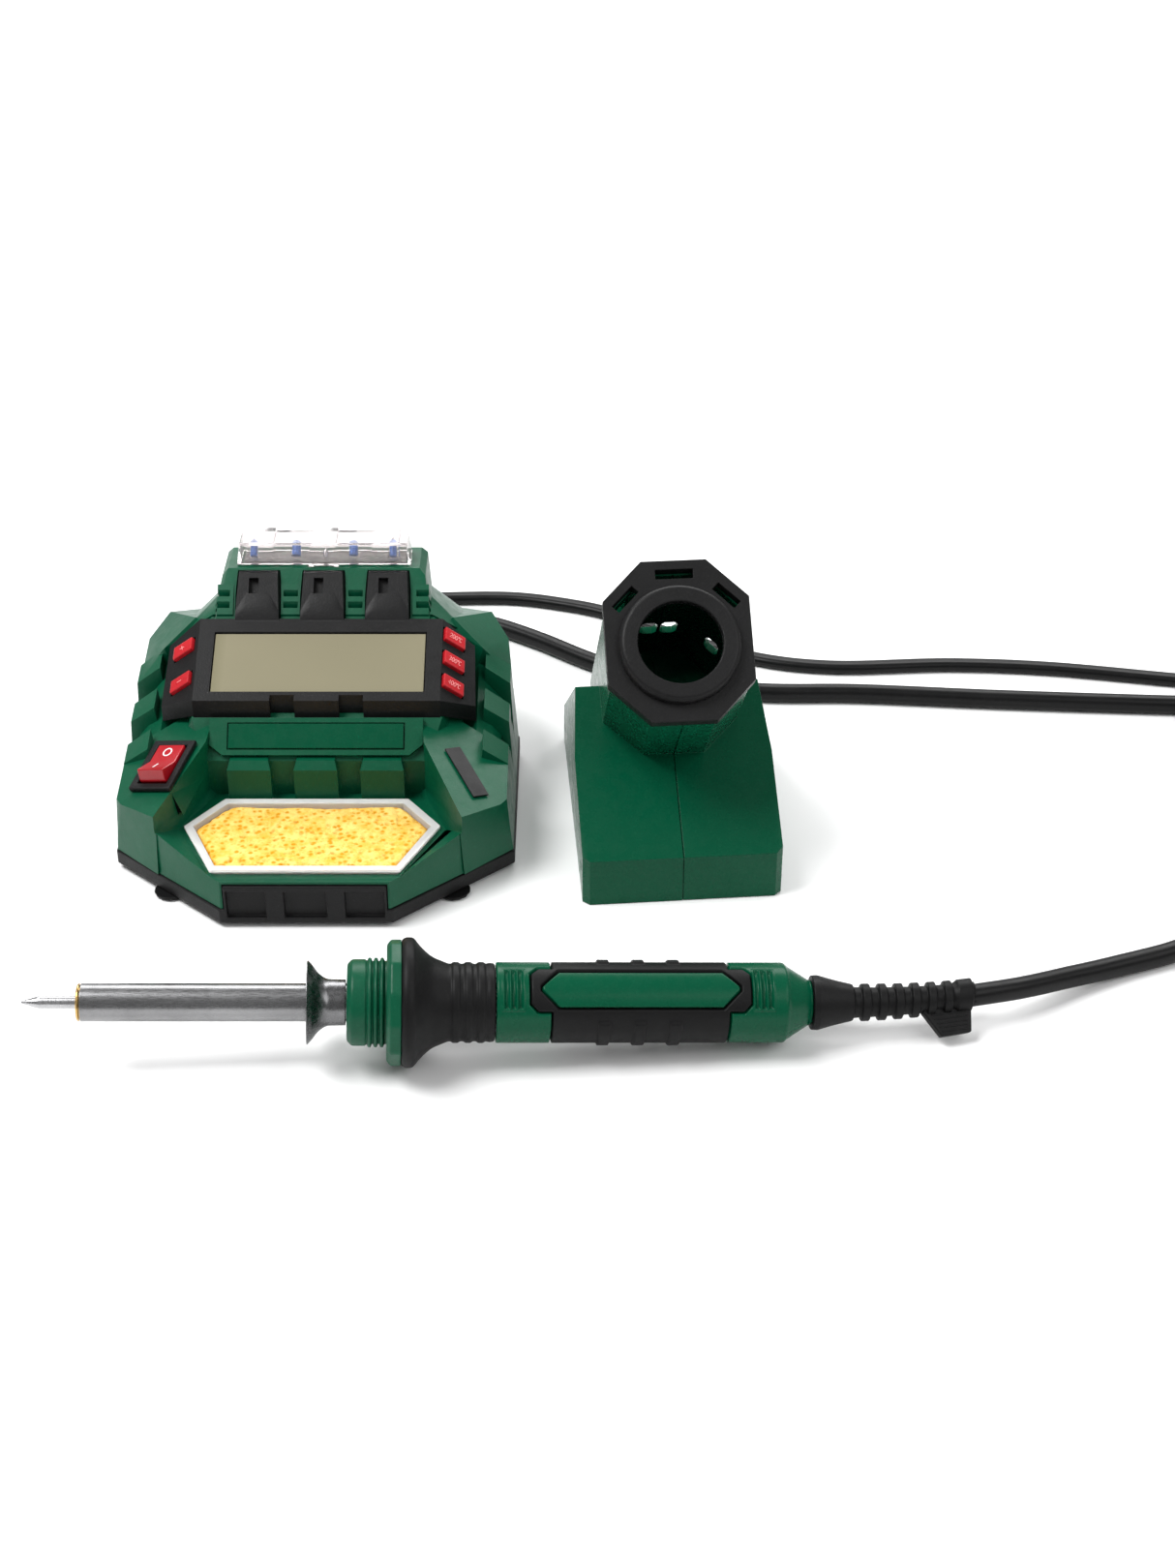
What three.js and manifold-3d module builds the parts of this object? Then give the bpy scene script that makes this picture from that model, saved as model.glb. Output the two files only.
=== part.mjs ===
// Soldering iron station: control unit, iron holder, soldering iron and their two cords.
// Millimetres, +Z up. The iron and the holder stand in front of and beside the control unit.
import * as THREE from 'three';
import { mergeVertices } from 'three/addons/utils/BufferGeometryUtils.js';
import { ConvexGeometry } from 'three/addons/geometries/ConvexGeometry.js';
import Module from 'manifold-3d';

const wasm = await Module();
wasm.setup();

// ---- driving dimensions ------------------------------------------------------------------
const GAP = 0.3;                 // clearance between touching pieces
const FAR = 200;                 // longer than any cut

// Brings the origin under the middle of the box around everything but the free cords
const ORIGIN_SHIFT = [-2.4, -7.4, 0];

// Control unit, in its own frame: x right, y back, origin under its middle
const UNIT_AT = [-56.5, 32.5, 0];
const HALF_W = 58.6;             // half width at the base
const HALF_D = 62.5;             // half depth at the base
const FRONT_HALF = 24.6;         // half length of the front edge
const FRONT_CUT_Y = -32.5;       // where the front corners are cut
const REAR_CUT_Y = 31;           // where the rear corners are cut
const REAR_HALF = 41;            // half length of the rear edge
const FOOT_H = 1.5;
const BAND_TOP = 6;              // top of the black lower shell
const DECK_Z = 16;               // deck around the sponge tray
const WALL = 2.2;                // shell wall

// Display bezel: centre plane z = FACE_Z + FACE_SLOPE * y, wings fall away by WING_SLOPE
const FACE_Z = 46.4;
const FACE_SLOPE = 0.457;
const WING_SLOPE = 0.7;
const FOLD_X = 36.5;
const WING_X = 46.4;

// Switch panel plane on the left shoulder: z = PANEL_Z + PANEL_X * x + PANEL_Y * y
const PANEL_Z = 46.7;
const PANEL_X = 0.3007;
const PANEL_Y = 0.1614;

const HEAD_TOP = 65.3;

// Iron holder, in its own frame: origin under the middle of its front edge
const HOLDER_AT = [51.1, -16.8, 0];
const HOLDER_YAW = 5;            // degrees
const BARREL_TILT = 48;          // funnel axis above the table, degrees
const MOUTH = [0, 17.8, 76];     // centre of the mouth ring
const BORE_R = 12;

// Soldering iron: s is the distance from the tip along its axis
const IRON_REST = [-23.2, -86.3, 17.1];  // axis where the finger guard stands on the table
const GUARD_S = 100;                     // that point's distance from the tip
const IRON_TILT = 3;             // the handle end lies lower, degrees
const IRON_YAW = 3.8;            // the handle end lies further back, degrees

// Cords
const LEAD_D = 5.8;              // iron lead, round
const MAINS_W = 5.2;             // mains lead, flat two-core
const MAINS_H = 3.8;
const MAINS_COIL = { at: [267, 136], mean: 30, width: 16, height: 8.2 };
const LEAD_COIL = { at: [254, 52], mean: 32, width: 11.9, height: 11.9 };

// ---- materials -----------------------------------------------------------------------------
const finish = (color, roughness, metalness = 0) => ({ color, roughness, metalness });
const GREEN = finish(0x0c5a3c, 0.45);
const BLACK = finish(0x1b1b1c, 0.6);
const RUBBER = finish(0x161616, 0.8);
const RED = finish(0xb01c22, 0.35);
const STEEL = finish(0xc8c9cb, 0.25, 1);
const BRASS = finish(0xb58a3c, 0.3, 1);
const CLEAR = finish(0xe8eef0, 0.05);
const SPONGE = finish(0xf0b848, 0.9);
const GLASS = finish(0x9a977c, 0.2);
const BLUE = finish(0x3a74c8, 0.5);
const BOARD = finish(0x1f6b45, 0.5);
const CERAMIC = finish(0xe6e2d8, 0.5);

// ---- solids ----------------------------------------------------------------------------------
function solid(geometry) {
  geometry.deleteAttribute('normal');
  geometry.deleteAttribute('uv');
  const merged = mergeVertices(geometry, 1e-4);
  return new wasm.Manifold(new wasm.Mesh({
    numProp: 3,
    vertProperties: new Float32Array(merged.attributes.position.array),
    triVerts: new Uint32Array(merged.index.array),
  }));
}

function toGeometry(manifold) {
  const mesh = manifold.getMesh();
  const geometry = new THREE.BufferGeometry();
  geometry.setAttribute('position', new THREE.BufferAttribute(mesh.vertProperties, 3));
  geometry.setIndex(new THREE.BufferAttribute(mesh.triVerts, 1));
  geometry.computeVertexNormals();
  return geometry;
}

const hull = (points) => solid(new ConvexGeometry(points.map((p) => new THREE.Vector3(...p))));
const mirrorX = (points) => points.map(([x, y, z]) => [-x, y, z]);
const bothSides = (points) => [...points, ...mirrorX(points)];
const unite = (...parts) => parts.reduce((a, b) => a.add(b));
const cut = (body, ...tools) => tools.reduce((a, b) => a.subtract(b), body);

function block(x0, x1, y0, y1, z0, z1) {
  const box = new THREE.BoxGeometry(x1 - x0, y1 - y0, z1 - z0);
  return solid(box.translate((x0 + x1) / 2, (y0 + y1) / 2, (z0 + z1) / 2));
}

function extrude(outline, z0, z1) {
  const shape = new THREE.Shape(outline.map(([x, y]) => new THREE.Vector2(x, y)));
  const body = new THREE.ExtrudeGeometry(shape, { depth: z1 - z0, bevelEnabled: false });
  return solid(body.translate(0, 0, z0));
}

// A turned piece about +Z from (radius, height) points that start and end on the axis
function turned(profile, sides = 24) {
  return solid(new THREE.LatheGeometry(
    profile.map(([r, z]) => new THREE.Vector2(r, z)), sides).rotateX(Math.PI / 2));
}

// A turned ring: the (radius, height) profile closes on itself
const ring = (profile, sides = 24) => turned([...profile, profile[0]], sides);

const cylinder = (r, z0, z1, sides = 16) => turned([[0, z0], [r, z0], [r, z1], [0, z1]], sides);

function moved(manifold, matrix) {
  return manifold.transform(matrix.elements);
}

// The matrix of a frame with its origin and three axis directions
function frameAt(origin, xAxis, yAxis, zAxis) {
  const basis = new THREE.Matrix4().makeBasis(
    new THREE.Vector3(...xAxis), new THREE.Vector3(...yAxis), new THREE.Vector3(...zAxis));
  return basis.setPosition(...origin);
}

function piece(group, name, manifold, look) {
  const mesh = new THREE.Mesh(toGeometry(manifold), new THREE.MeshStandardMaterial(look));
  mesh.name = name;
  group.add(mesh);
}

// ---- control unit ------------------------------------------------------------------------------
function outline(inset) {
  const sx = 1 - inset / HALF_W;
  const sy = 1 - inset / HALF_D;
  const right = [
    [FRONT_HALF, -HALF_D], [HALF_W, FRONT_CUT_Y], [HALF_W, REAR_CUT_Y], [REAR_HALF, HALF_D],
  ];
  const left = right.map(([x, y]) => [-x, y]).reverse();
  return [...right, ...left].map(([x, y]) => [x * sx, y * sy]);
}

const faceZ = (y) => FACE_Z + FACE_SLOPE * y;
const wingZ = (x, y) => faceZ(y) - WING_SLOPE * (Math.abs(x) - FOLD_X);
const panelZ = (x, y) => PANEL_Z - PANEL_X * Math.abs(x) + PANEL_Y * y;

// Sponge tray outline: a hexagon whose side points lie behind its middle
const TRAY = { side: 37.3, sideY: -36.4, half: 27, front: -58.9, back: -21.9 };

function trayOutline(inset) {
  const side = TRAY.side - 1.15 * inset;
  const half = TRAY.half - 0.5 * inset;
  return [
    [half, TRAY.front + inset], [side, TRAY.sideY], [half, TRAY.back - inset],
    [-half, TRAY.back - inset], [-side, TRAY.sideY], [-half, TRAY.front + inset],
  ];
}

const FRONT_PANEL = { half: 23.2, depth: 3.6, top: 14 };
const FRONT_RECESS = { depth: 1.6, top: 12.2, low: 3.2 };
const RECESS_X = [[-22.4, -11.3], [-6, 6], [11.3, 22.4]];

function baseTray() {
  const front = -HALF_D;
  const panel = block(-FRONT_PANEL.half, FRONT_PANEL.half,
    front, front + FRONT_PANEL.depth, BAND_TOP - 1, FRONT_PANEL.top);
  let tray = unite(extrude(outline(0), FOOT_H, BAND_TOP), panel);
  tray = tray.subtract(extrude(outline(3), FOOT_H + WALL, BAND_TOP + 1)
    .subtract(block(-FAR, FAR, front - 1, front + FRONT_PANEL.depth, 0, FAR)));
  for (const [x0, x1] of RECESS_X) {
    tray = tray.subtract(block(x0, x1, front - 1, front + FRONT_RECESS.depth, FRONT_RECESS.low,
      FRONT_RECESS.top));
  }
  return tray;
}

// One shoulder beside the tray, with the flat panel that carries the switch or the strip
function frontShoulder(side) {
  const top = [[32.4, -21.4], [43.2, -45.9], [54.8, -36], [56.6, -33], [56.6, -12], [40, -3],
    [31, -9]];
  const foot = [[44.4, -45.3], [58, -32.4], [58, -12], [31, -9], [32.4, -21.4]];
  return hull([
    ...top.map(([x, y]) => [side * x, y, panelZ(x, y)]),
    ...foot.map(([x, y]) => [side * x, y, BAND_TOP + GAP]),
  ]);
}

function rearShoulder(side) {
  return hull([
    [50.2, 43.5, 44], [39.1, 25.4, 52], [55.6, 33.5, 40], [48.4, 18.7, 45], [56.4, 27, 36],
    [40, 57, 38], [58, 30.8, BAND_TOP + GAP], [58, 22, BAND_TOP + GAP], [56.4, 22, 34],
    [40.5, 62, BAND_TOP + GAP], [36, 20, BAND_TOP + GAP], [36, 57, 38], [36, 25, 50],
  ].map(([x, y, z]) => [side * x, y, z]));
}

// Tread-like lugs along the side wall: y of the front face, outer and inner top heights
const LUGS = [[13.2, 36, 41.5], [-2, 31.5, 36.5], [-18.1, 27, 32]];

function sideLugs(side) {
  const bodies = LUGS.map(([y, outer, inner]) => hull([
    [58, y - 0.5, BAND_TOP + GAP], [58, y + 8.2, BAND_TOP + GAP], [56.6, y, outer],
    [56.6, y + 8.2, outer + 1.5], [49.2, y, inner], [49.2, y + 8.2, inner + 2],
    [46, y, BAND_TOP + GAP], [46, y + 8.2, BAND_TOP + GAP],
  ].map(([x, yy, z]) => [side * x, yy, z])));
  const wall = hull([
    [55.6, -34, BAND_TOP + GAP], [55.6, 30, BAND_TOP + GAP], [54.2, -20, 23], [54.2, 28, 34],
    [47, -14, 29], [47, 26, 42], [30, -14, BAND_TOP + GAP], [30, 30, BAND_TOP + GAP],
  ].map(([x, y, z]) => [side * x, y, z]));
  return unite(wall, ...bodies);
}

// The bezel: a flat middle and two wings, grown by g all round
function bezelBody(g = 0, up = 0) {
  const deep = 6 + g;
  const middle = [[FOLD_X, -8.2 - g], [FOLD_X, 19 + g]];
  const wing = [[FOLD_X, -8.2 - g], [FOLD_X, 19 + g], [WING_X - 0.4 + g, 16.3 + g],
    [WING_X + 0.3 + g, -3.2 - g]];
  const centre = hull(bothSides(middle.flatMap(([x, y]) => [
    [x, y, faceZ(y) + up], [x, y, faceZ(y) - deep]])));
  const wings = [-1, 1].map((side) => hull(wing.flatMap(([x, y]) => [
    [side * x, y, wingZ(x, y) + up], [side * x, y, wingZ(x, y) - deep + 0.8]])));
  return unite(centre, ...wings);
}

const WINDOW = { half: 31.8, front: -5.2, back: 14.6 };

// A slab parallel to the bezel's middle, from low to high below or above it
function faceSlab(half, front, back, low, high) {
  return hull(bothSides([front, back].flatMap((y) => [
    [half, y, faceZ(y) + low], [half, y, faceZ(y) + high]])));
}

// Buttons on the wings: name, side, x and y of the middle
const BUTTONS = [
  ['button_plus', -1, 40.8, 11.4], ['button_minus', -1, 40.6, 0.2],
  ['button_200', 1, 39.9, 14.2], ['button_300', 1, 39.9, 6.5], ['button_400', 1, 39.9, -1.2],
];
const BUTTON = { halfX: 2.9, halfY: 2, above: 1.2, below: 2.2 };

function buttonBody(side, x, y, grow, above, below) {
  const n = new THREE.Vector3(side * WING_SLOPE, -FACE_SLOPE, 1).normalize();
  const points = [];
  for (const dx of [-1, 1]) {
    for (const dy of [-1, 1]) {
      const px = x + dx * (BUTTON.halfX + grow);
      const py = y + dy * (BUTTON.halfY + grow);
      const on = new THREE.Vector3(side * px, py, wingZ(px, py));
      points.push(on.clone().addScaledVector(n, above).toArray());
      points.push(on.clone().addScaledVector(n, -below).toArray());
    }
  }
  return hull(points);
}

// Three arms run from the bezel up over the front slope of the head
const ARM_X = [-19.6, 0, 19.6];
const ARM_HALF = 6.6;

function arm(x, grow = 0) {
  const half = ARM_HALF + grow;
  return hull([-1, 1].flatMap((s) => [
    [x + s * half, 18, faceZ(18)], [x + s * half, 18, faceZ(18) - 5 - grow],
    [x + s * half, 20, 56.2 + grow], [x + s * (half - 0.8), 29.6, 65.1 + grow],
    [x + s * (half - 0.8), 31 + grow, 65.1 + grow],
    [x + s * half, 33 + grow, 63.2], [x + s * half, 33 + grow, 61.6 - grow],
    [x + s * half, 21, 51 - grow],
  ]));
}

// Gusset between an arm's face and the bezel's rear edge
function armGusset(x) {
  return hull([-1, 1].flatMap((s) => [
    [x + s * 3.5, 24.8, 60.8], [x + s * 3.3, 20.9, 58.3], [x + s * 6.5, 18.4, 55],
    [x + s * 6.5, 20.6, 57], [x + s * 4, 22, 54],
  ]));
}

// Blind slot in an arm's sloping face, left of its middle
const ARM_FACE = { y: 26.6, z: 62.3, up: [0, 0.733, 0.68], out: [0, -0.68, 0.733] };
const ARM_SLOT = { shift: -1.3, halfX: 1.45, halfY: 2.5, deep: 2 };

function armNotch(x) {
  const { shift, halfX, halfY, deep } = ARM_SLOT;
  return moved(block(-halfX, halfX, -halfY, halfY, -deep, 3),
    frameAt([x + shift, ARM_FACE.y, ARM_FACE.z], [1, 0, 0], ARM_FACE.up, ARM_FACE.out));
}

const TAB_X = [-20.4, 0, 20.4];

function displayBezel() {
  let bezel = unite(bezelBody(), ...ARM_X.map((x) => arm(x)), ...ARM_X.map(armGusset));
  bezel = bezel.subtract(faceSlab(WINDOW.half, WINDOW.front, WINDOW.back, -FAR / 4, 10));
  for (const x of ARM_X) bezel = bezel.subtract(armNotch(x));
  // gaps between the tabs of the lower lip
  for (const x of [-10.2, 10.2]) {
    bezel = bezel.subtract(block(x - 3.6, x + 3.6, -9.5, -6.3, 30, 44));
  }
  for (const [, side, x, y] of BUTTONS) {
    bezel = bezel.subtract(buttonBody(side, x, y, 0.35, 5, 12));
  }
  return bezel;
}

// Switch: its frame has x along the short side, y up the long side, z out of the panel
const SWITCH_AT = [-43.3, -24.8, panelZ(-43.3, -24.8)];
const SWITCH = { halfX: 6.9, halfY: 10.1, bodyX: 6, bodyY: 9.2, deep: 9.3, rim: 1.8 };
const SWITCH_Z = new THREE.Vector3(-PANEL_X, -PANEL_Y, 1).normalize();
const SWITCH_Y = new THREE.Vector3(0.29, 0.944, 0.224).projectOnPlane(SWITCH_Z).normalize();
const SWITCH_X = new THREE.Vector3().crossVectors(SWITCH_Y, SWITCH_Z);
const SWITCH_FRAME = frameAt(SWITCH_AT, SWITCH_X.toArray(), SWITCH_Y.toArray(),
  SWITCH_Z.toArray());

function switchBezel() {
  const { halfX, halfY, bodyX, bodyY, deep, rim } = SWITCH;
  const body = unite(block(-halfX, halfX, -halfY, halfY, GAP, rim),
    block(-bodyX, bodyX, -bodyY, bodyY, -deep, rim));
  return moved(body.subtract(block(-4.9, 4.9, -7.9, 7.9, -5.4, rim + 1)), SWITCH_FRAME);
}

const ROCKER_TILT = 13;          // degrees each way from level

function rocker() {
  const side = [[-6.9, 3.9], [-7.3, 0], [-5.6, -3.2], [5.6, -3.2], [7.3, 0], [6.9, 3.9], [0, 2.4]];
  const shape = new THREE.Shape(side.map(([y, z]) => new THREE.Vector2(y, z)));
  const body = new THREE.ExtrudeGeometry(shape, { depth: 9, bevelEnabled: false });
  body.translate(0, 0, -4.5);
  const stand = new THREE.Matrix4().makeBasis(new THREE.Vector3(0, 1, 0),
    new THREE.Vector3(0, 0, 1), new THREE.Vector3(1, 0, 0));
  body.applyMatrix4(stand);
  body.rotateX(-THREE.MathUtils.degToRad(ROCKER_TILT));
  return moved(solid(body), SWITCH_FRAME);
}

// Front wall behind the tray, then a slope up to the bezel
const WALL_Y = -17.5;
const WALL_TOP = 27.6;
const SLOPE_END = [-8.6, 37];

function middleBody() {
  return hull(bothSides([
    [33, WALL_Y, BAND_TOP + GAP], [33, WALL_Y, WALL_TOP], [37, ...SLOPE_END],
    [37, 20, 50], [33.5, 24, 55], [50, -4, BAND_TOP + GAP], [41, 61.8, BAND_TOP + GAP],
    [36, 57, 38], [40, 30, 48],
  ]));
}

const slopeDir = new THREE.Vector3(0, SLOPE_END[0] - WALL_Y, SLOPE_END[1] - WALL_TOP).normalize();
const SLOPE_FRAME = frameAt([0, WALL_Y, WALL_TOP], [1, 0, 0], slopeDir.toArray(),
  [0, -slopeDir.z, slopeDir.y]);

// Raised slab on the slope, with a sunken place for the blank name plate
function nameSlab() {
  const slab = extrude([[-27.5, 1.4], [27.5, 1.4], [31.5, 4.6], [31.5, 12.6], [-31.5, 12.6],
    [-31.5, 4.6]], -2, 1.7);
  return moved(slab.subtract(block(-26.2, 26.2, 3, 11.2, 0.9, 3)), SLOPE_FRAME);
}

const namePlate = () => moved(block(-25.8, 25.8, 3.4, 10.8, 1.2, 2.1), SLOPE_FRAME);

function pads() {
  return ARM_X.map((x) => hull([-1, 1].flatMap((s) => [
    [x + s * 6.4, -20.9, 12], [x + s * 6.4, -20.9, 26.4], [x + s * 5.6, -18.9, 28.6],
    [x + s * 5.6, -15.5, 28.8], [x + s * 6.4, -15, 12],
  ])));
}

function headBody() {
  return hull(bothSides([
    [32.6, 19.8, 53], [30.8, 31, 63.4], [29, 32.3, HEAD_TOP], [29, 46, HEAD_TOP],
    [30.8, 46.6, 63.4], [32.6, 30, 57], [31, 56, 46], [31, 57, 36], [32.6, 20, 36],
  ]));
}

// Raised frames with twin vents between the arms; the outer ones run out at the head's side
const VENT_X = [-30.4, -9.8, 9.8, 30.4];
const headZ = (y) => 53 + 0.9286 * (y - 19.8);

function ventFrames() {
  return VENT_X.map((x) => {
    const out = Math.abs(x) > 20 ? 1.6 : 3.3;
    const [low, high] = x < 0 ? [-out, 3.3] : [-3.3, out];
    return hull([[low, 21.4], [low, 28.4], [high, 21.4], [high, 28.4]].flatMap(([dx, y]) => [
      [x + dx, y, headZ(y) + 0.8], [x + dx, y, headZ(y) - 1]]));
  });
}

function vents() {
  return VENT_X.flatMap((x) => [22.9, 25.6].map((y) => block(x - 2.2, x + 2.2, y, y + 1.5, 50, 70)));
}

function rearHump() {
  return hull(bothSides([
    [33, 22, 55], [32.6, 29.7, 57], [41, 39.8, 46], [44, 24, 47], [40, 57, 38],
    [30, 57, 44], [30, 40, 57],
  ]));
}

function upperShell() {
  const low = BAND_TOP + GAP;
  const lowerBody = hull(bothSides([
    [24.2, -62.1, low], [58.2, -32.3, low], [58.2, 30.8, low], [40.8, 62.1, low],
    [24, -61.6, 15], [43.6, -45.4, 21.5], [56.6, -33, 21.5], [57, 30, 24], [40, 60.5, 24],
  ]));
  const deckCut = hull(bothSides([
    [24.6, -63.5, 15.1], [44.6, -46.4, 21.4], [31.9, WALL_Y, 18], [38.8, -36.4, DECK_Z],
    [26.5, -60, DECK_Z], [30, WALL_Y, DECK_Z], [24.6, -63.5, 60], [44.6, -46.4, 60],
    [31.9, WALL_Y, 60],
  ]));
  let shell = cut(lowerBody, deckCut);
  for (const side of [-1, 1]) {
    shell = unite(shell, frontShoulder(side), rearShoulder(side), sideLugs(side));
  }
  shell = cut(shell, deckCut.translate([0, -0.01, 0]));
  shell = unite(shell, middleBody(), nameSlab(), ...pads(), headBody(), ...ventFrames(),
    rearHump());
  // room inside: one cavity under the middle, one under each shoulder
  const middleRoom = hull(bothSides([
    [28, -14.5, 0], [28, -14.5, 22], [34, -6, 0], [34, -6, 31], [34, 20, 44], [33, 56, 36],
    [36, 57, 0],
  ]));
  const sideRooms = [-1, 1].map((side) => hull([
    [50, -28, 0], [50, 28, 0], [30, -12, 0], [36, 56, 0], [50, -28, 17], [50, 28, 28],
    [36, 56, 30], [32, -10, 17],
  ].map(([x, y, z]) => [side * x, y, z])));
  const headRoom = hull(bothSides([[28, 24, 40], [28, 24, 52], [28, 34, 61], [28, 45, 61],
    [28, 53, 40]]));
  const frontRoom = hull(bothSides([
    [22, -57.5, 0], [50, -32, 0], [50, -16, 0], [22, -57.5, 11], [40, -45, 14], [50, -32, 14],
    [30, -16, 13],
  ]));
  shell = cut(shell, middleRoom, ...sideRooms, headRoom, frontRoom);
  // openings: sponge tray, bezel, display, front panel, switch, vents
  shell = cut(shell, extrude(trayOutline(1.1), 0, FAR), bezelBody(GAP, 20),
    faceSlab(33, -6.2, 15.6, -FAR / 6, 5),
    block(-FRONT_PANEL.half - GAP, FRONT_PANEL.half + GAP, -HALF_D - 1,
      -HALF_D + FRONT_PANEL.depth + GAP, 0, FRONT_PANEL.top + GAP));
  for (const x of ARM_X) shell = shell.subtract(arm(x, GAP));
  for (const slot of vents()) shell = shell.subtract(slot);
  shell = shell.subtract(moved(block(-SWITCH.bodyX - GAP, SWITCH.bodyX + GAP,
    -SWITCH.bodyY - GAP, SWITCH.bodyY + GAP, -SWITCH.deep - GAP, 10), SWITCH_FRAME));
  shell = shell.subtract(moved(block(-SWITCH.halfX - GAP, SWITCH.halfX + GAP,
    -SWITCH.halfY - GAP, SWITCH.halfY + GAP, 0, 12), SWITCH_FRAME));
  for (const gland of GLANDS) {
    shell = shell.subtract(moved(cylinder(gland.hole + GAP, -6, 6), glandFrame(gland)));
  }
  // stay above the lower shell's rim and inside one body
  return shell.subtract(block(-FAR, FAR, -FAR, FAR, -1, low));
}

// Cord glands in the rear wall, their axes point back
const GLANDS = [
  { name: 'mains_gland', x: -23.5, z: 13, hole: 4.6, grip: 3.9, long: 26 },
  { name: 'lead_gland', x: -1.5, z: 13, hole: 5, grip: 4.3, long: 26 },
];
const GLAND_Y = 59.6;
const glandFrame = (g) => frameAt([g.x, GLAND_Y, g.z], [1, 0, 0], [0, 0, -1], [0, 1, 0]);

function glandBody({ hole, grip, long }) {
  return turned([[0, -4.6], [hole + 1.4, -4.6], [hole + 1.4, -3.2], [hole, -3.2], [hole, 2.6],
    [hole + 1.2, 2.6], [hole + 1.2, 4.2], [hole, 4.2], [grip, long], [0, long]], 16);
}

function spongeTray() {
  const rim = extrude(trayOutline(0), DECK_Z + GAP, DECK_Z + GAP + 1);
  const well = extrude(trayOutline(1.5), 7.2, DECK_Z + GAP + 1);
  return unite(rim, well).subtract(extrude(trayOutline(2.5), 8.2, FAR));
}

const sponge = () => extrude(trayOutline(2.9), 8.5, 16.6);

// Clear lid over the spare tips, hinged at its lower rear edge
const CASE = { half: 26.4, front: 32.9, back: 43.3, low: HEAD_TOP + 0.5, top: 72.9 };
const BULGE_X = [-18.9, 0, 18.9];

function tipLid() {
  const { half, front, back, low, top } = CASE;
  let lid = hull([-1, 1].flatMap((s) => [[s * half, front + 0.5, low], [s * half, back, low],
    [s * (half - 1), front + 1, top], [s * (half - 1), back - 0.5, top]]));
  for (const x of BULGE_X) {
    lid = lid.add(block(x - 4.1, x + 4.1, front - 0.2, back - 0.5, low + 2, top + 0.8));
  }
  const inside = block(-half + 1.1, half - 1.1, front + 1.6, back - 1, low - 1, top - 1);
  const latch = hull([[-4.6, front - 0.8, low], [4.6, front - 0.8, low], [-3.4, front - 0.8, low + 2.6],
    [3.4, front - 0.8, low + 2.6], [-4.6, front + 1, low], [4.6, front + 1, low],
    [-3.4, front + 1, low + 2.6], [3.4, front + 1, low + 2.6]]);
  return unite(lid.subtract(inside), latch.subtract(block(-3, 3, front - 2, front - 0.3, 0, low + 1.4)));
}

const RACK = { z0: HEAD_TOP + 0.3, z1: HEAD_TOP + 0.9 };

function tipRack() {
  return block(-CASE.half + 1.6, CASE.half - 1.6, CASE.front + 2, CASE.back - 1.4, RACK.z0,
    RACK.z1);
}

// Spare tips lean back on the rack, clear of the lid's front wall as it swings: x, radius of the
// coloured sleeve, length of sleeve and whole tip
const SPARE_TIPS = [
  [-21.5, 1.1, 4, 5.2], [-8.6, 1.35, 4, 4.8], [0.3, 0.7, 2, 3.6], [8.8, 1.3, 4, 4.8],
  [20.8, 1.1, 4, 5.2],
];
const TIP_LEAN = 45;             // degrees

function spareTip([x, r, sleeve, point]) {
  const body = turned([[0, 0], [r, 0], [r, sleeve], [r * 0.4, point], [0, point]], 10);
  return body.rotate([-TIP_LEAN, 0, 0])
    .translate([x, 36.4, RACK.z1 + GAP + r * Math.sin(THREE.MathUtils.degToRad(TIP_LEAN))]);
}

// Parts inside the control unit
function controlBoard() {
  return block(-30, 30, 0, 34, 26, 27.6);
}

function lcdModule() {
  return faceSlab(WINDOW.half - 0.6, WINDOW.front + 0.6, WINDOW.back - 0.6, -8.8, -2.5);
}

const displayWindow = () => faceSlab(WINDOW.half - GAP, WINDOW.front + GAP, WINDOW.back - GAP,
  -2.1, -0.4);

function powerBoard() {
  return unite(block(-34, 34, 2, 50, 8, 9.6), block(-30, -12, 12, 34, 9.5, 22),
    block(-6, 6, 14, 26, 9.5, 19), block(12, 30, 8, 12, 9.5, 21));
}

const FEET = [[-41, -45.2], [41, -45.2], [-44, 46], [44, 46]];
const SCREWS = [[-50, -5], [50, -5], [-46, 38], [46, 38]];

function screw(x, y) {
  return turned([[0, 2.2], [2.4, 2.2], [2.4, 3.6], [1.3, 3.6], [1.3, 12], [0, 12]], 10)
    .translate([x, y, 0]);
}

function screwHole(x, y) {
  return turned([[0, 0], [2.7, 0], [2.7, 3.9], [1.6, 3.9], [1.6, 20], [0, 20]], 10)
    .translate([x, y, 0]);
}

// Screw bosses stand inside the upper shell
const boss = (x, y) => cylinder(3.6, BAND_TOP + GAP, 24, 10).translate([x, y, 0]);

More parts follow.
